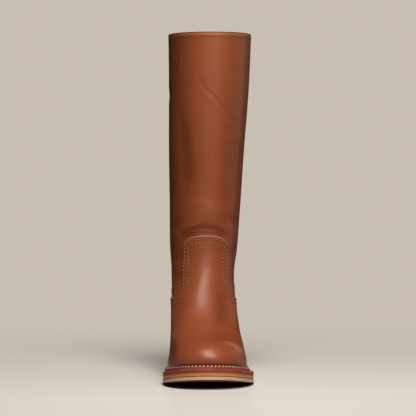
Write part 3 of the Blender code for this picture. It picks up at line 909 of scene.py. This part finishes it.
def plan_loop(reach):
    """Closed plan outline of the sole, anticlockwise from the back."""
    return np.concatenate([sole_rail(1, reach), sole_rail(-1, reach)[-2:0:-1]])


def sole_ring(reach, height):
    """A closed ring at a reach outside the feather line and a height over the sole's underside."""
    loop = plan_loop(reach)
    return np.column_stack([loop, sole_bottom(loop[:, 1]) + height])


def sole_edge(inset=0.0):
    """The sole's own outline, as its reach outside the feather line."""
    return lambda share, side: spline(WIDTH_STATIONS, SOLE_REACH[side], share) - inset


def steady(reach):
    return lambda share, side: np.full_like(share, reach)


def strip_caps(count, first, turned):
    """A face across a loop, as strips from one side of the boot to the other."""
    faces = []
    for i in range(count // 2):
        corners = [first + c for c in dict.fromkeys((i, (count - i) % count, count - i - 1, i + 1))]
        faces.append(corners[::-1] if turned else corners)
    return faces


def make_layer(name, rows, material, sharp, stands_for, slot, ring=False):
    """A layer of the sole from (reach, height, rise) rows up its edge, with a face over each end.

    The mark rise is each row's share of the layer's height. A ring is open in the middle instead,
    and its rows go on down its inner side."""
    loops = [sole_ring(reach, height) for reach, height, _ in rows]
    count, last = len(loops[0]), len(loops) - 1
    faces = grid_faces(len(loops), count, tube=ring)
    if not ring:
        faces += strip_caps(count, 0, False) + strip_caps(count, last * count, True)
    marks = {"rise": np.repeat([rise for _, _, rise in rows], count)}
    make_piece(name, np.concatenate(loops), faces, material, marks, sharp, stands_for, slot)


def edge_profile(inset, low, high, corner, rows=5):
    """A layer's edge with both of its corners broken, and rows for its colour between them."""
    edge, broken = sole_edge(inset), sole_edge(inset + corner)
    between = low + corner + np.linspace(0, 1, rows) * (high - low - 2 * corner)
    profile = [(broken, low), *[(edge, height) for height in between], (broken, high)]
    return [(reach, height, (height - low) / (high - low)) for reach, height in profile]


def welt_lip(share):
    """Height of the welt's raised inner lip, which fades out where the heel begins."""
    return WELT_LIP * ease(np.clip((share - WELT_LIP_END) / WELT_LIP_FADE, 0, 1))


def station_shares():
    share = (1 + np.cos(np.linspace(math.pi, 0, SOLE_STATIONS))) / 2
    return np.concatenate([share, share[-2:0:-1]])


def make_welt(material):
    low = WELT_TOP - WELT
    lip = WELT_TOP + welt_lip(station_shares())
    step = np.where(lip > WELT_TOP + 0.0004, WELT_TOP + 0.0004, WELT_TOP)
    # Up the edge, over the lip and down inside
    rows = (
        (sole_edge(EDGE_CORNER), low, 0),
        (sole_edge(), low + EDGE_CORNER, 0.1),
        (sole_edge(), WELT_TOP - 0.0008, 0.8),
        (sole_edge(EDGE_CORNER), WELT_TOP - EDGE_CORNER, 0.9),
        (sole_edge(0.0009), WELT_TOP, 1),
        (steady(WELT_LIP_OUTER + 0.0010), WELT_TOP, 1),
        (steady(WELT_LIP_OUTER + 0.0002), step, 0.3),
        (steady(WELT_LIP_OUTER), np.maximum(lip - 0.0005, WELT_TOP), 0.8),
        (steady(WELT_LIP_OUTER - 0.0004), lip, 1),
        (steady(WELT_LIP_INNER + 0.0003), lip, 0.8),
        (steady(WELT_LIP_INNER), np.maximum(lip - 0.0004, WELT_TOP), 0.2),
        (steady(WELT_LIP_INNER - 0.0002), WELT_TOP, 0),
        (steady(WELT_INNER), WELT_TOP, 0),
        (steady(WELT_INNER), low, 0),
    )
    make_layer("storm_welt", rows, material, 60, "welt", "welt_leather", ring=True)


def make_welt_stitches(sizes, thread, hole):
    """Chunky stitches over the welt's lip, from one side of the heel round the toe to the other."""
    lip = welt_lip(station_shares())
    kept = lip > WELT_LIP * 0.9
    points = sole_ring(steady(WELT_LIP_OUTER - WELT_STITCH_INSET), WELT_TOP + lip)[kept]
    outer = plan_loop(steady(WELT_LIP_OUTER + 0.004))[kept]
    away = unit(np.column_stack([outer - points[:, :2], np.zeros(len(points))]))

    # painted shade: the welt's thread darkens away from the toe, where its stitches slant from view
    def stain(centres):
        off_toe = (np.abs(centres[:, 0]) - WELT_THREAD_SHADE_START) / WELT_THREAD_SHADE_FADE
        return np.clip(off_toe, 0, 1) * WELT_THREAD_SHADE

    out = away * WELT_STITCH_LEAN + np.array([0, 0, 0.95])
    path = points, out, sizes.welt_pitch
    sew("welt", [path], sizes.welt_thread, WELT_STITCH, thread, hole, stain)


def heel_loop(z, inset=0.0):
    """Plan outline of the heel at a height: the sole's outline, leaning in on the way down."""
    down = HEEL_HEIGHT - z
    breast = BREAST_Y + BREAST_LEAN * down + inset
    sides = []
    for side in (1, -1):
        rail = sole_rail(side, sole_edge(LIFT_INSET + LIFT_TAPER * down + inset))
        # Every height keeps as many stations, evenly spread along the rail behind the breast
        run = run_along(rail)
        stop = np.interp(-breast, -rail[:, 1], run)
        sides.append(read_along(run, rail, np.linspace(0, stop, HEEL_SIDE_POINTS)))
    front = np.linspace(sides[0][-1], sides[1][-1], HEEL_FRONT_POINTS)[1:-1]
    return np.concatenate([sides[0], front, sides[1][:0:-1]])


def make_lift(name, low, high, material, slot):
    """One layer of the heel with broken corners. Without a top it is the wedge at the outsole."""
    rows = [(low, LIFT_CORNER), (low + LIFT_CORNER, 0.0)]
    if high:
        rows += [(high - LIFT_CORNER, 0.0), (high, LIFT_CORNER)]
    rings = [np.insert(heel_loop(z, inset), 2, z, axis=1) for z, inset in rows]
    if not high:
        loop = heel_loop(HEEL_HEIGHT)
        rings.append(np.column_stack([loop, sole_bottom(loop[:, 1]) - GAP]))
    count = len(rings[0])
    rise = np.repeat(np.linspace(0, 1, len(rings)), count)
    make_piece(f"{name}_layer", np.concatenate(rings), rod_faces(len(rings), count), material,
               {"rise": rise}, 40, name, slot)


# Materials


class Value:
    """An output of a shader node, on which Python's own operators add Math nodes."""

    def __init__(self, graph, socket):
        self.graph = graph
        self.socket = socket

    def math(self, operation, *others):
        values = dict(enumerate((self, *others)))
        return self.graph.node("ShaderNodeMath", {"operation": operation}, values)

    def __add__(self, other):
        return self.math("ADD", other)

    def __sub__(self, other):
        return self.math("SUBTRACT", other)

    def __rsub__(self, other):
        return (self * -1) + other

    def __mul__(self, other):
        return self.math("MULTIPLY", other)

    __radd__ = __add__
    __rmul__ = __mul__

    def between(self, low, high):
        """0 below low, 1 above high and smooth between them. Low may be the larger."""
        settings = {"interpolation_type": "SMOOTHSTEP"}
        values = {"Value": self, "From Min": low, "From Max": high}
        return self.graph.node("ShaderNodeMapRange", settings, values)


class Graph:
    """A material's nodes, and the colour that its layers build up."""

    def __init__(self, name, colour):
        self.material = bpy.data.materials.new(name)
        self.material.use_nodes = True
        self.tree = self.material.node_tree
        self.shader = self.tree.nodes["Principled BSDF"]
        self.colour = colour

    def node(self, kind, settings=None, values=None, output=0):
        """One node: its settings are set first, then the values or links of its sockets."""
        made = self.tree.nodes.new(kind)
        for key, setting in (settings or {}).items():
            setattr(made, key, setting)
        for key, value in (values or {}).items():
            self.put(made.inputs[key], value)
        return Value(self, made.outputs[output])

    def put(self, socket, value):
        if isinstance(value, Value):
            self.tree.links.new(value.socket, socket)
        elif socket.type == "RGBA":
            socket.default_value = (*value, 1)
        else:
            socket.default_value = value

    def cover(self, share, colour):
        """Mixes a share of another colour over the material's own."""
        settings = {"data_type": "RGBA", "clamp_factor": True}
        self.colour = self.node("ShaderNodeMix", settings, {0: share, 6: self.colour, 7: colour}, 2)

    def place(self, scale=None):
        """Places on the object, stretched where a scale for each axis is given."""
        place = self.node("ShaderNodeTexCoord", output=3)
        if scale:
            settings = {"operation": "MULTIPLY"}
            place = self.node("ShaderNodeVectorMath", settings, {0: place, 1: scale})
        return place

    def noise(self, scale, detail, roughness, stretch=None):
        values = {"Vector": self.place(stretch), "Scale": scale, "Detail": detail}
        return self.node("ShaderNodeTexNoise", None, {**values, "Roughness": roughness})

    def cells(self, scale):
        return self.node("ShaderNodeTexVoronoi", None, {"Vector": self.place(), "Scale": scale})

    def height(self):
        return self.node("ShaderNodeSeparateXYZ", None, {0: self.place()}, 2)

    def mark(self, name):
        settings = {"attribute_name": name, "attribute_type": "GEOMETRY"}
        return self.node("ShaderNodeAttribute", settings, output=2)

    def finish(self, roughness, height=None, depth=0.0001, strength=0.5, specular=0.5,
               sheen=0.0):
        """Feeds the shader. Values that are the same all over go straight on its sockets."""
        self.put(self.shader.inputs["Base Color"], self.colour)
        self.put(self.shader.inputs["Roughness"], roughness)
        if height is not None:
            values = {"Height": height, "Distance": depth, "Strength": strength}
            self.put(self.shader.inputs["Normal"], self.node("ShaderNodeBump", None, values))
        self.shader.inputs["Specular IOR Level"].default_value = specular
        self.shader.inputs["Sheen Weight"].default_value = sheen
        return self.material


def toned(colour, factor):
    """The colour made darker or paler."""
    return tuple(min(1.0, part * factor) for part in colour)


def leather_material(name, colours, edge, cut_edge=None):
    """Smooth cognac leather: fine pores, a slow mottling, painted shade in the folds, ridges paled
    by wear and by painted highlights, painted light on the upper shaft and the collar's edge, and
    its kind of
    edge: collar, raw or turned."""
    dark = colours.leather_dark
    turned = [(a + b) / 2 for a, b in zip(colours.leather, dark)]
    graph = Graph(name, turned if edge == "turned" else colours.leather)
    cloud = graph.noise(14, 4, 0.55)
    streak = graph.noise(22, 3, 0.5, (1.0, 1.0, 0.22))
    belt = graph.noise(40, 3, 0.55, (0.35, 0.35, 2.4))
    fold_shading = graph.mark("fold_shading")
    ridge = fold_shading * -1
    mottle = cloud.between(0.36, 0.68) * 0.6 + streak.between(0.35, 0.7) * 0.4
    for share, colour in (
        (mottle * 0.34, dark),
        (belt.between(0.42, 0.72) * 0.22, dark),
        # painted light: the shaft pales towards its top
        (graph.height().between(0.22, 0.38) * 0.12, colours.wear_and_highlight),
        (graph.noise(420, 2, 0.6).between(0.45, 0.75) * 0.14, dark),
        # painted shade in the folds
        (fold_shading.between(0.1, 1.0) * 0.55, colours.crease),
        # ridges pale with wear and with a painted highlight
        (ridge.between(0.05, 0.8) * 0.30, colours.wear_and_highlight),
        # painted sheen on the strongest ridges
        (ridge.between(0.4, 1.0) * 0.36, colours.painted_sheen),
        # painted shade just above the welt
        (graph.mark("low_darkening") * 0.85, colours.crease),
    ):
        graph.cover(share, colour)
    cut = graph.mark("edge")
    if edge == "raw":
        graph.cover(cut.between(0.35, 0.85) * 0.8, cut_edge or colours.cut_edge)
    if edge == "collar":
        down = HEIGHT - graph.height()
        # painted highlight: a pale band where the collar's rounded edge catches the light
        graph.cover(down.between(0.0046, 0.0014) * 0.8, colours.wear_and_highlight)
        cut = down.between(0.0013, 0.0006)
        graph.cover(cut, colours.collar_edge)
    height = graph.cells(1500).between(0.0, 0.55) * 0.55 + graph.noise(700, 3, 0.6) * 0.45
    rough = colours.leather_roughness + (cloud - 0.5) * 0.16 + fold_shading.between(0.0, 1.0) * 0.08
    rough = rough + cut * 0.3 - graph.height().between(0.075, 0.045) * 0.09
    return graph.finish(rough, height, 0.00008, 0.55, specular=0.33)


def thread_material(name, colour, darkened=None):
    graph = Graph(name, colour)
    graph.cover(graph.noise(900, 2, 0.6) * 0.5, toned(colour, 0.62))
    if darkened:
        # the thread darkens: low on the vamp for the tab, and towards the sides as painted shade
        # for the welt
        graph.cover(graph.mark("stain") * 0.88, darkened)
    return graph.finish(0.85, graph.noise(2600, 2, 0.6), 0.0001, 0.6, specular=0.25)


def plain_dark(name, colour):
    graph = Graph(name, colour)
    graph.cover(graph.noise(500, 2, 0.6), toned(colour, 0.5))
    return graph.finish(0.85)


def layered_edge(name, colour, dark, lines, roughness=0.5, shine=0.4):
    """Trimmed leather edge: fibres along the layer, with dark or light lines at set heights.

    Lines are (height in the layer, half width, colour, strength)."""
    graph = Graph(name, colour)
    fibre = graph.noise(260, 4, 0.65, (0.25, 0.25, 3.0))
    graph.cover(fibre.between(0.35, 0.7) * 0.5, dark)
    graph.cover(graph.noise(45, 3, 0.6).between(0.4, 0.7) * 0.35, dark)
    rise = graph.mark("rise")
    for centre, half, line_colour, strength in lines:
        off = (rise - centre).math("ABSOLUTE")
        graph.cover(off.between(half, half * 0.35) * strength, line_colour)
    rough = roughness + (fibre - 0.5) * 0.2
    return graph.finish(rough, fibre, 0.00012, specular=shine)


def lining_material(name, colour):
    graph = Graph(name, colour)
    graph.cover(graph.noise(30, 4, 0.6) * 0.4, toned(colour, 0.72))
    return graph.finish(0.85, graph.noise(1200, 3, 0.7), 0.00012, sheen=0.15)


def rubber_material(name, colour):
    graph = Graph(name, colour)
    graph.cover(graph.noise(60, 4, 0.6).between(0.45, 0.8) * 0.4, toned(colour, 2.2))
    return graph.finish(0.65, graph.cells(900), 0.0001, 0.4)


def floor_material(name, colour):
    """Pale studio floor that thins out into the pale air of the studio away from the boot."""
    graph = Graph(name, colour)
    graph.cover(graph.noise(3, 2, 0.5) * 0.04, toned(colour, 0.9))
    graph.finish(1.0, specular=0.0)
    radius = graph.node("ShaderNodeVectorMath", {"operation": "LENGTH"}, {0: graph.place()}, 1)
    values = {0: radius.between(0.12, 0.8), 1: Value(graph, graph.shader.outputs[0]),
              2: graph.node("ShaderNodeBsdfTransparent")}
    mixed = graph.node("ShaderNodeMixShader", None, values)
    graph.put(graph.tree.nodes["Material Output"].inputs[0], mixed)
    return graph.material


# Settings that a user would change


def colour_prop(name, text, default):
    return bpy.props.FloatVectorProperty(name=name, description=text, subtype="COLOR", size=3,
                                         min=0, max=1, default=default)


def length_prop(name, text, default):
    return bpy.props.FloatProperty(name=name, description=text, unit="LENGTH", default=default,
                                   min=0, precision=4)


def share_prop(name, text, default):
    return bpy.props.FloatProperty(name=name, description=text, subtype="FACTOR", min=0, max=2,
                                   default=default)


class BootColours(bpy.types.PropertyGroup):
    """Colours of the leathers, threads and soles."""

    leather: colour_prop("Leather", "Cognac leather of the upper", (0.222, 0.066, 0.028))
    leather_dark: colour_prop("Leather mottling", "Its darker clouds", (0.160, 0.038, 0.012))
    # Painted shade: the colour of the shade in the folds and just above the welt, also of the
    # seam's needle holes
    crease: colour_prop("Folds", "Leather in the folds", (0.085, 0.017, 0.006))
    # Partly wear, partly painted light: ridges, the collar's edge and the upper shaft
    wear_and_highlight: colour_prop("Ridges", "Leather where it is stretched or rubbed", (0.360, 0.140, 0.068))
    # Painted sheen: greyer colour on the strongest ridges
    painted_sheen: colour_prop("Bloom", "Greyer wax on the strongest ridges", (0.300, 0.155, 0.092))
    cut_edge: colour_prop("Cut edge", "Raw edge of the vamp", (0.30, 0.160, 0.108))
    counter_edge: colour_prop("Counter's edge", "Raw edge of the counter", (0.52, 0.38, 0.29))
    collar_edge: colour_prop("Collar edge", "Dark edge round the collar", (0.060, 0.014, 0.006))
    leather_roughness: share_prop("Leather roughness", "Roughness of the upper's leather", 0.45)
    lining: colour_prop("Lining", "Leather lining", (0.42, 0.24, 0.13))
    sock: colour_prop("Sock", "Sock lining over the insole", (0.46, 0.28, 0.16))
    thread: colour_prop("Thread", "Pale thread of the tab", (0.260, 0.138, 0.094))
    counter_thread: colour_prop("Counter thread", "Off-white thread", (0.62, 0.49, 0.39))
    seam_thread: colour_prop("Seam thread", "Thread in the leather's tone", (0.185, 0.049, 0.018))
    welt_thread: colour_prop("Welt thread", "Heavy thread over the welt", (0.50, 0.36, 0.29))
    hole: colour_prop("Needle holes", "Dark needle holes", (0.155, 0.047, 0.024))
    welt: colour_prop("Welt", "Reddish leather of the welt", (0.24, 0.065, 0.036))
    welt_dark: colour_prop("Welt shade", "Darker places of the welt", (0.11, 0.022, 0.011))
    midsole: colour_prop("Midsole", "Trimmed edge of the midsole", (0.38, 0.175, 0.085))
    midsole_dark: colour_prop("Midsole shade", "Fibres of the midsole", (0.25, 0.08, 0.035))
    outsole: colour_prop("Outsole", "Trimmed edge of the outsole", (0.50, 0.335, 0.21))
    outsole_dark: colour_prop("Outsole shade", "Fibres of the outsole", (0.36, 0.19, 0.10))
    heel: colour_prop("Heel", "Stacked leather of the heel", (0.30, 0.12, 0.055))
    heel_dark: colour_prop("Heel shade", "Fibres of the heel", (0.17, 0.055, 0.024))
    rubber: colour_prop("Rubber", "Top lift", (0.035, 0.022, 0.016))


class BootStitching(bpy.types.PropertyGroup):
    """Sizes of the stitches."""

    pitch: length_prop("Pitch", "Length of one stitch with its gap", 0.0040)
    width: length_prop("Thread", "Width of the upper's thread", 0.0013)
    outer_row: length_prop("Outer row", "From the vamp's edge to its outer row", 0.0019)
    inner_row: length_prop("Inner row", "From the vamp's edge to its inner row", 0.0062)
    outer_top: length_prop("Outer row at the top", "From the tab's top to the outer row", 0.0041)
    inner_top: length_prop("Inner row at the top", "From the tab's top to the inner row", 0.0092)
    welt_pitch: length_prop("Welt pitch", "Length of one welt stitch with its gap", 0.0042)
    welt_thread: length_prop("Welt thread", "Width of the welt's thread", 0.0018)


class BootFolds(bpy.types.PropertyGroup):
    """How worn the leather is."""

    strength: share_prop("Folds", "Depth of the leather's folds against the usual", 1.0)


class BootStage(bpy.types.PropertyGroup):
    """Floor, lights and camera."""

    floor: colour_prop("Floor", "Pale floor", (0.508, 0.495, 0.478))
    studio: colour_prop("Studio", "Pale studio far behind the boot", (0.505, 0.460, 0.400))
    air: share_prop("Studio light", "Light that the boot takes from the studio's walls", 0.10)
    lens: bpy.props.FloatProperty(name="Lens", description="Focal length of the camera",
                                  unit="CAMERA", default=199.7, min=1)
    distance: length_prop("Camera distance", "From the boot's middle to the camera", 2.553)
    height: length_prop("Camera height", "Above the floor", 0.2464)
    aside: bpy.props.FloatProperty(name="Camera aside", description="Along X from the middle",
                                   unit="LENGTH", default=-0.0593)


GROUPS = {"boot_colours": BootColours, "boot_stitching": BootStitching, "boot_folds": BootFolds,
          "boot_stage": BootStage}


# Operators


class BOOT_OT_shaft(bpy.types.Operator):
    """Makes the shaft and foot in one skin of leather, with its folds and its collar edge"""

    bl_idname = "boot.shaft"
    bl_label = "Shaft leather"

    def execute(self, context):
        rows = [(level, 0.0) for level in np.linspace(0, TOP - COLLAR_ROLL, SHAFT_ROWS)]
        for turn in QUARTER_TURN[1:]:
            down, back = 1 - math.sin(turn), 1 - math.cos(turn)
            rows.append((TOP - COLLAR_ROLL * down, -COLLAR_ROLL * back))
        for turn in QUARTER_TURN:
            down, back = 1 - math.cos(turn), 1 - math.sin(turn)
            rows.append((TOP - COLLAR_ROLL * down, COLLAR_ROLL * back - SKIN))
        rows += [(level, -SKIN) for level in np.linspace(TOP - 2 * COLLAR_ROLL, 0, LINING_ROWS)]
        material = leather_material("cognac_leather", context.scene.boot_colours, "collar")
        make_tube("shaft_leather", rows, SHAFT_COLUMNS, material, "upper")
        return {"FINISHED"}


class BOOT_OT_lining(bpy.types.Operator):
    """Makes the leather lining inside the shaft"""

    bl_idname = "boot.lining"
    bl_label = "Lining"

    def execute(self, context):
        up = np.linspace(0, TOP - LINING_DROP, LINING_ROWS)
        rows = [(level, -SKIN - LINING_GAP) for level in up]
        rows += [(level, -UPPER_WALL) for level in up[::-1]]
        material = lining_material("lining_leather", context.scene.boot_colours.lining)
        make_tube("shaft_lining", rows, SHAFT_COLUMNS // 2, material)
        return {"FINISHED"}


class BOOT_OT_overlays(bpy.types.Operator):
    """Makes the vamp with its tall tab, the counter and the two side seams"""

    bl_idname = "boot.overlays"
    bl_label = "Vamp, counter and seams"

    def execute(self, context):
        colours = context.scene.boot_colours
        raw = leather_material("overlay_leather", colours, "raw")
        pale_edged = leather_material("counter_leather", colours, "raw", colours.counter_edge)
        piping = leather_material("side_seam_leather", colours, "turned")
        leather_sheet("vamp_leather", *vamp_net(), OVERLAY, raw, "vamp")
        leather_sheet("counter_leather", *counter_net(), OVERLAY, pale_edged, "counter")
        for side, word in ((1, "lateral"), (-1, "medial")):
            seam = f"side_seam_{word}"
            crown = np.tile(SIDE_SEAM_CROWN, SIDE_SEAM_ROWS) * SIDE_SEAM_PROUD
            leather_sheet(f"{seam}_welting", *side_seam_net(side), crown, piping, seam)
        return {"FINISHED"}


class BOOT_OT_stitching(bpy.types.Operator):
    """Sews the tab, the counter, the collar and the side seams"""

    bl_idname = "boot.stitching"
    bl_label = "Stitching"

    def execute(self, context):
        colours, sizes = context.scene.boot_colours, context.scene.boot_stitching
        pale = thread_material("off_white_thread", colours.thread, colours.seam_thread)
        counter = thread_material("counter_thread", colours.counter_thread)
        tonal = thread_material("tonal_thread", colours.seam_thread)
        hole = plain_dark("needle_hole", colours.hole)
        seam_hole = plain_dark("seam_needle_hole", colours.crease)
        overlay = GAP + OVERLAY
        size = sizes.pitch, sizes.width
        tab_rows = [tab_row(sizes.outer_row, sizes.outer_top, OUTER_CORNER),
                    tab_row(sizes.inner_row, sizes.inner_top, INNER_CORNER)]
        make_stitches("tab", tab_rows, overlay, *size, pale, hole)
        counter_rows = [counter_row(sizes.outer_row), counter_row(COUNTER_INNER_ROW)]
        make_stitches("counter", counter_rows, overlay, *size, counter, hole)
        # painted shade: dark lines in the grooves inside the vamp's and the counter's edges
        edge_shade_lines = [tab_row(LINE_INSET, LINE_TOP, LINE_CORNER), counter_row(LINE_INSET)]
        make_line("edge_shade_line", edge_shade_lines, overlay, LINE_WIDTH, hole)
        make_stitches("collar", [collar_row()], 0.0, *SEAM_STITCH, tonal, seam_hole)
        heights = SEAM_Z + SEAM_STITCH_START, HEIGHT - COLLAR_ROW - SEAM_STITCH_STOP
        rows = [upright_row(side, SEAM_Y + off, *heights)
                for side in (1, -1) for off in (-SEAM_STITCH_OFF, SEAM_STITCH_OFF)]
        make_stitches("side_seam", rows, 0.0, *SEAM_STITCH, tonal, seam_hole)
        return {"FINISHED"}


class BOOT_OT_sole(bpy.types.Operator):
    """Makes the outsole, the midsole and the sock over the insole"""

    bl_idname = "boot.sole"
    bl_label = "Outsole, midsole and sock"

    def execute(self, context):
        c = context.scene.boot_colours
        line, pale = toned(c.outsole_dark, 0.45), toned(c.midsole, 1.25)
        outsole = layered_edge("outsole_leather", c.outsole, c.outsole_dark,
                               ((0.0, 0.16, line, 0.9), (1.0, 0.14, c.midsole_dark, 0.7)))
        midsole = layered_edge("midsole_leather_edge", c.midsole, c.midsole_dark,
                               ((0.0, 0.16, c.midsole_dark, 0.9), (0.30, 0.14, pale, 0.8),
                                (1.0, 0.20, pale, 0.6)))
        make_layer("outsole_layer", edge_profile(0.0, 0.0, OUTSOLE, SOLE_CORNER), outsole, 40,
                   "outsole", "sole_leather")
        low = OUTSOLE + GAP
        profile = edge_profile(MIDSOLE_INSET, low, low + MIDSOLE, EDGE_CORNER)
        make_layer("midsole_layer", profile, midsole, 40, "midsole", "midsole_leather")
        low += MIDSOLE + GAP
        top = FEATHER + INSOLE_RISE
        rows = [(steady(INSOLE_EDGE), low, 0), (steady(INSOLE_EDGE), top - SOCK_CORNER, 1),
                (steady(INSOLE_EDGE - SOCK_CORNER), top, 1)]
        sock = lining_material("sock_leather", c.sock)
        make_layer("sock_lining", rows, sock, 50, "insole", "insole_board")
        return {"FINISHED"}


class BOOT_OT_welt(bpy.types.Operator):
    """Makes the storm welt and the heavy stitches over its lip"""

    bl_idname = "boot.welt"
    bl_label = "Welt"

    def execute(self, context):
        c = context.scene.boot_colours
        make_welt(layered_edge("welt_leather_edge", c.welt, c.welt_dark,
                               ((0.0, 0.24, c.midsole, 0.7),), 0.62, 0.2))
        thread = thread_material("welt_thread", c.welt_thread, c.welt)
        hole = plain_dark("welt_needle_hole", c.welt_dark)
        make_welt_stitches(context.scene.boot_stitching, thread, hole)
        return {"FINISHED"}


class BOOT_OT_heel(bpy.types.Operator):
    """Makes the stacked heel: rubber top lift, leather lifts and the wedge"""

    bl_idname = "boot.heel"
    bl_label = "Stacked heel"

    def execute(self, context):
        c = context.scene.boot_colours
        rubber = rubber_material("heel_rubber_lift", c.rubber)
        make_lift("top_lift", 0.0, TOP_LIFT, rubber, "heel_rubber")
        z = TOP_LIFT + GAP
        lines = (0.0, 0.08, c.heel_dark, 0.9), (1.0, 0.08, c.heel_dark, 0.9)
        for number in range(1, LIFTS + 1):
            leather = toned(c.heel, 1 + 0.08 * math.sin(2.4 * number))
            material = layered_edge(f"heel_leather_{number}", leather, c.heel_dark, lines)
            make_lift(f"heel_lift_{number}", z, z + LIFT, material, "heel_leather")
            z += LIFT + GAP
        wedge = layered_edge("heel_wedge_leather", c.heel, c.heel_dark, ())
        make_lift("heel_wedge", z, None, wedge, "heel_leather")
        return {"FINISHED"}


class BOOT_OT_stage(bpy.types.Operator):
    """Makes the floor, the studio light and the camera"""

    bl_idname = "boot.stage"
    bl_label = "Floor, light and camera"

    def execute(self, context):
        stage = context.scene.boot_stage
        make_floor(stage)
        make_lights(stage)
        make_camera(stage)
        return {"FINISHED"}


def make_floor(stage, sides=96):
    mesh = bpy.data.meshes.new("studio_floor")
    points = np.column_stack([*circle(sides), np.zeros(sides)])
    mesh.from_pydata(points.tolist(), [], [list(range(sides))])
    mesh.materials.append(floor_material("studio_floor", stage.floor))
    add_object("studio_floor", mesh)


def stand(made, place, aim):
    """Stands a light or the camera at a place and turns it to what it looks at."""
    made.location = place
    made.rotation_euler = (Vector(aim) - Vector(place)).to_track_quat("-Z", "Y").to_euler()


# The studio lights: name, watts and colour, then where each stands, what it looks at and its size
SOFTBOXES = (
    ("overhead_softbox", 52.0, (1.0, 0.95, 0.89), (0.06, -1.28, 1.95), (0.0, -0.05, 0.12),
     (0.8, 1.6)),
    ("front_softbox", 12.0, (1.0, 0.95, 0.90), (0.37, -1.32, 0.95), (0.0, 0.0, 0.26), (0.7, 0.7)),
    ("lateral_softbox", 2.1, (1.0, 0.97, 0.94), (1.62, 1.00, 0.55), (0.0, 0.0, 0.20), (0.7, 1.2)),
    ("back_softbox", 18.0, (1.0, 0.97, 0.94), (0.0, 2.30, 0.85), (0.0, 0.10, 0.20), (0.10, 0.9)),
)


def make_lights(stage):
    for name, watts, colour, place, aim, size in SOFTBOXES:
        lamp = bpy.data.lights.new(name, "AREA")
        lamp.shape = "RECTANGLE"
        lamp.size, lamp.size_y = size
        lamp.energy, lamp.color = watts, colour
        stand(add_object(name, lamp), place, aim)
    # The pale studio shows at full strength behind the boot, and only faintly lights it
    world = bpy.data.worlds.new("studio_air")
    world.use_nodes = True
    tree = world.node_tree
    air = tree.nodes["Background"]
    air.inputs["Color"].default_value = (*stage.studio, 1)
    seen = tree.nodes.new("ShaderNodeLightPath").outputs["Is Camera Ray"]
    strength = tree.nodes.new("ShaderNodeMix")
    strength.inputs[2].default_value = stage.air
    strength.inputs[3].default_value = 1.0
    tree.links.new(seen, strength.inputs[0])
    tree.links.new(strength.outputs[0], air.inputs["Strength"])
    bpy.context.scene.world = world
    view = bpy.context.scene.view_settings
    view.view_transform, view.look = "Standard", "Medium High Contrast"


def make_camera(stage):
    """The camera stands to the medial side of the boot, low in front, and looks at its middle."""
    lens = bpy.data.cameras.new("studio_camera")
    lens.lens = stage.lens
    lens.sensor_width = 36
    lens.clip_end = 20
    camera = add_object("studio_camera", lens)
    stand(camera, (stage.aside, -stage.distance, stage.height), (0.0, 0.0, HEIGHT / 2 - AIM_DROP))
    bpy.context.scene.camera = camera


OPERATORS = (BOOT_OT_shaft, BOOT_OT_lining, BOOT_OT_overlays, BOOT_OT_stitching, BOOT_OT_sole,
             BOOT_OT_welt, BOOT_OT_heel, BOOT_OT_stage)


class BOOT_PT_panel(bpy.types.Panel):
    """Lists the boot's pieces and settings"""

    bl_idname = "BOOT_PT_panel"
    bl_label = "Tall boot"
    bl_space_type = "VIEW_3D"
    bl_region_type = "UI"
    bl_category = "Boot"

    def draw(self, context):
        for operator in OPERATORS:
            self.layout.operator(operator.bl_idname)
        for name, group in GROUPS.items():
            box = self.layout.box()
            for prop in group.__annotations__:
                box.prop(getattr(context.scene, name), prop)


def register():
    for group in GROUPS.values():
        bpy.utils.register_class(group)
    for name, group in GROUPS.items():
        setattr(bpy.types.Scene, name, bpy.props.PointerProperty(type=group))
    for made in (*OPERATORS, BOOT_PT_panel):
        bpy.utils.register_class(made)


def unregister():
    for made in (BOOT_PT_panel, *reversed(OPERATORS)):
        bpy.utils.unregister_class(made)
    for name, group in GROUPS.items():
        delattr(bpy.types.Scene, name)
        bpy.utils.unregister_class(group)


def main():
    register()
    for operator in OPERATORS:
        group, name = operator.bl_idname.split(".")
        getattr(getattr(bpy.ops, group), name)()


if __name__ == "__main__":
    main()
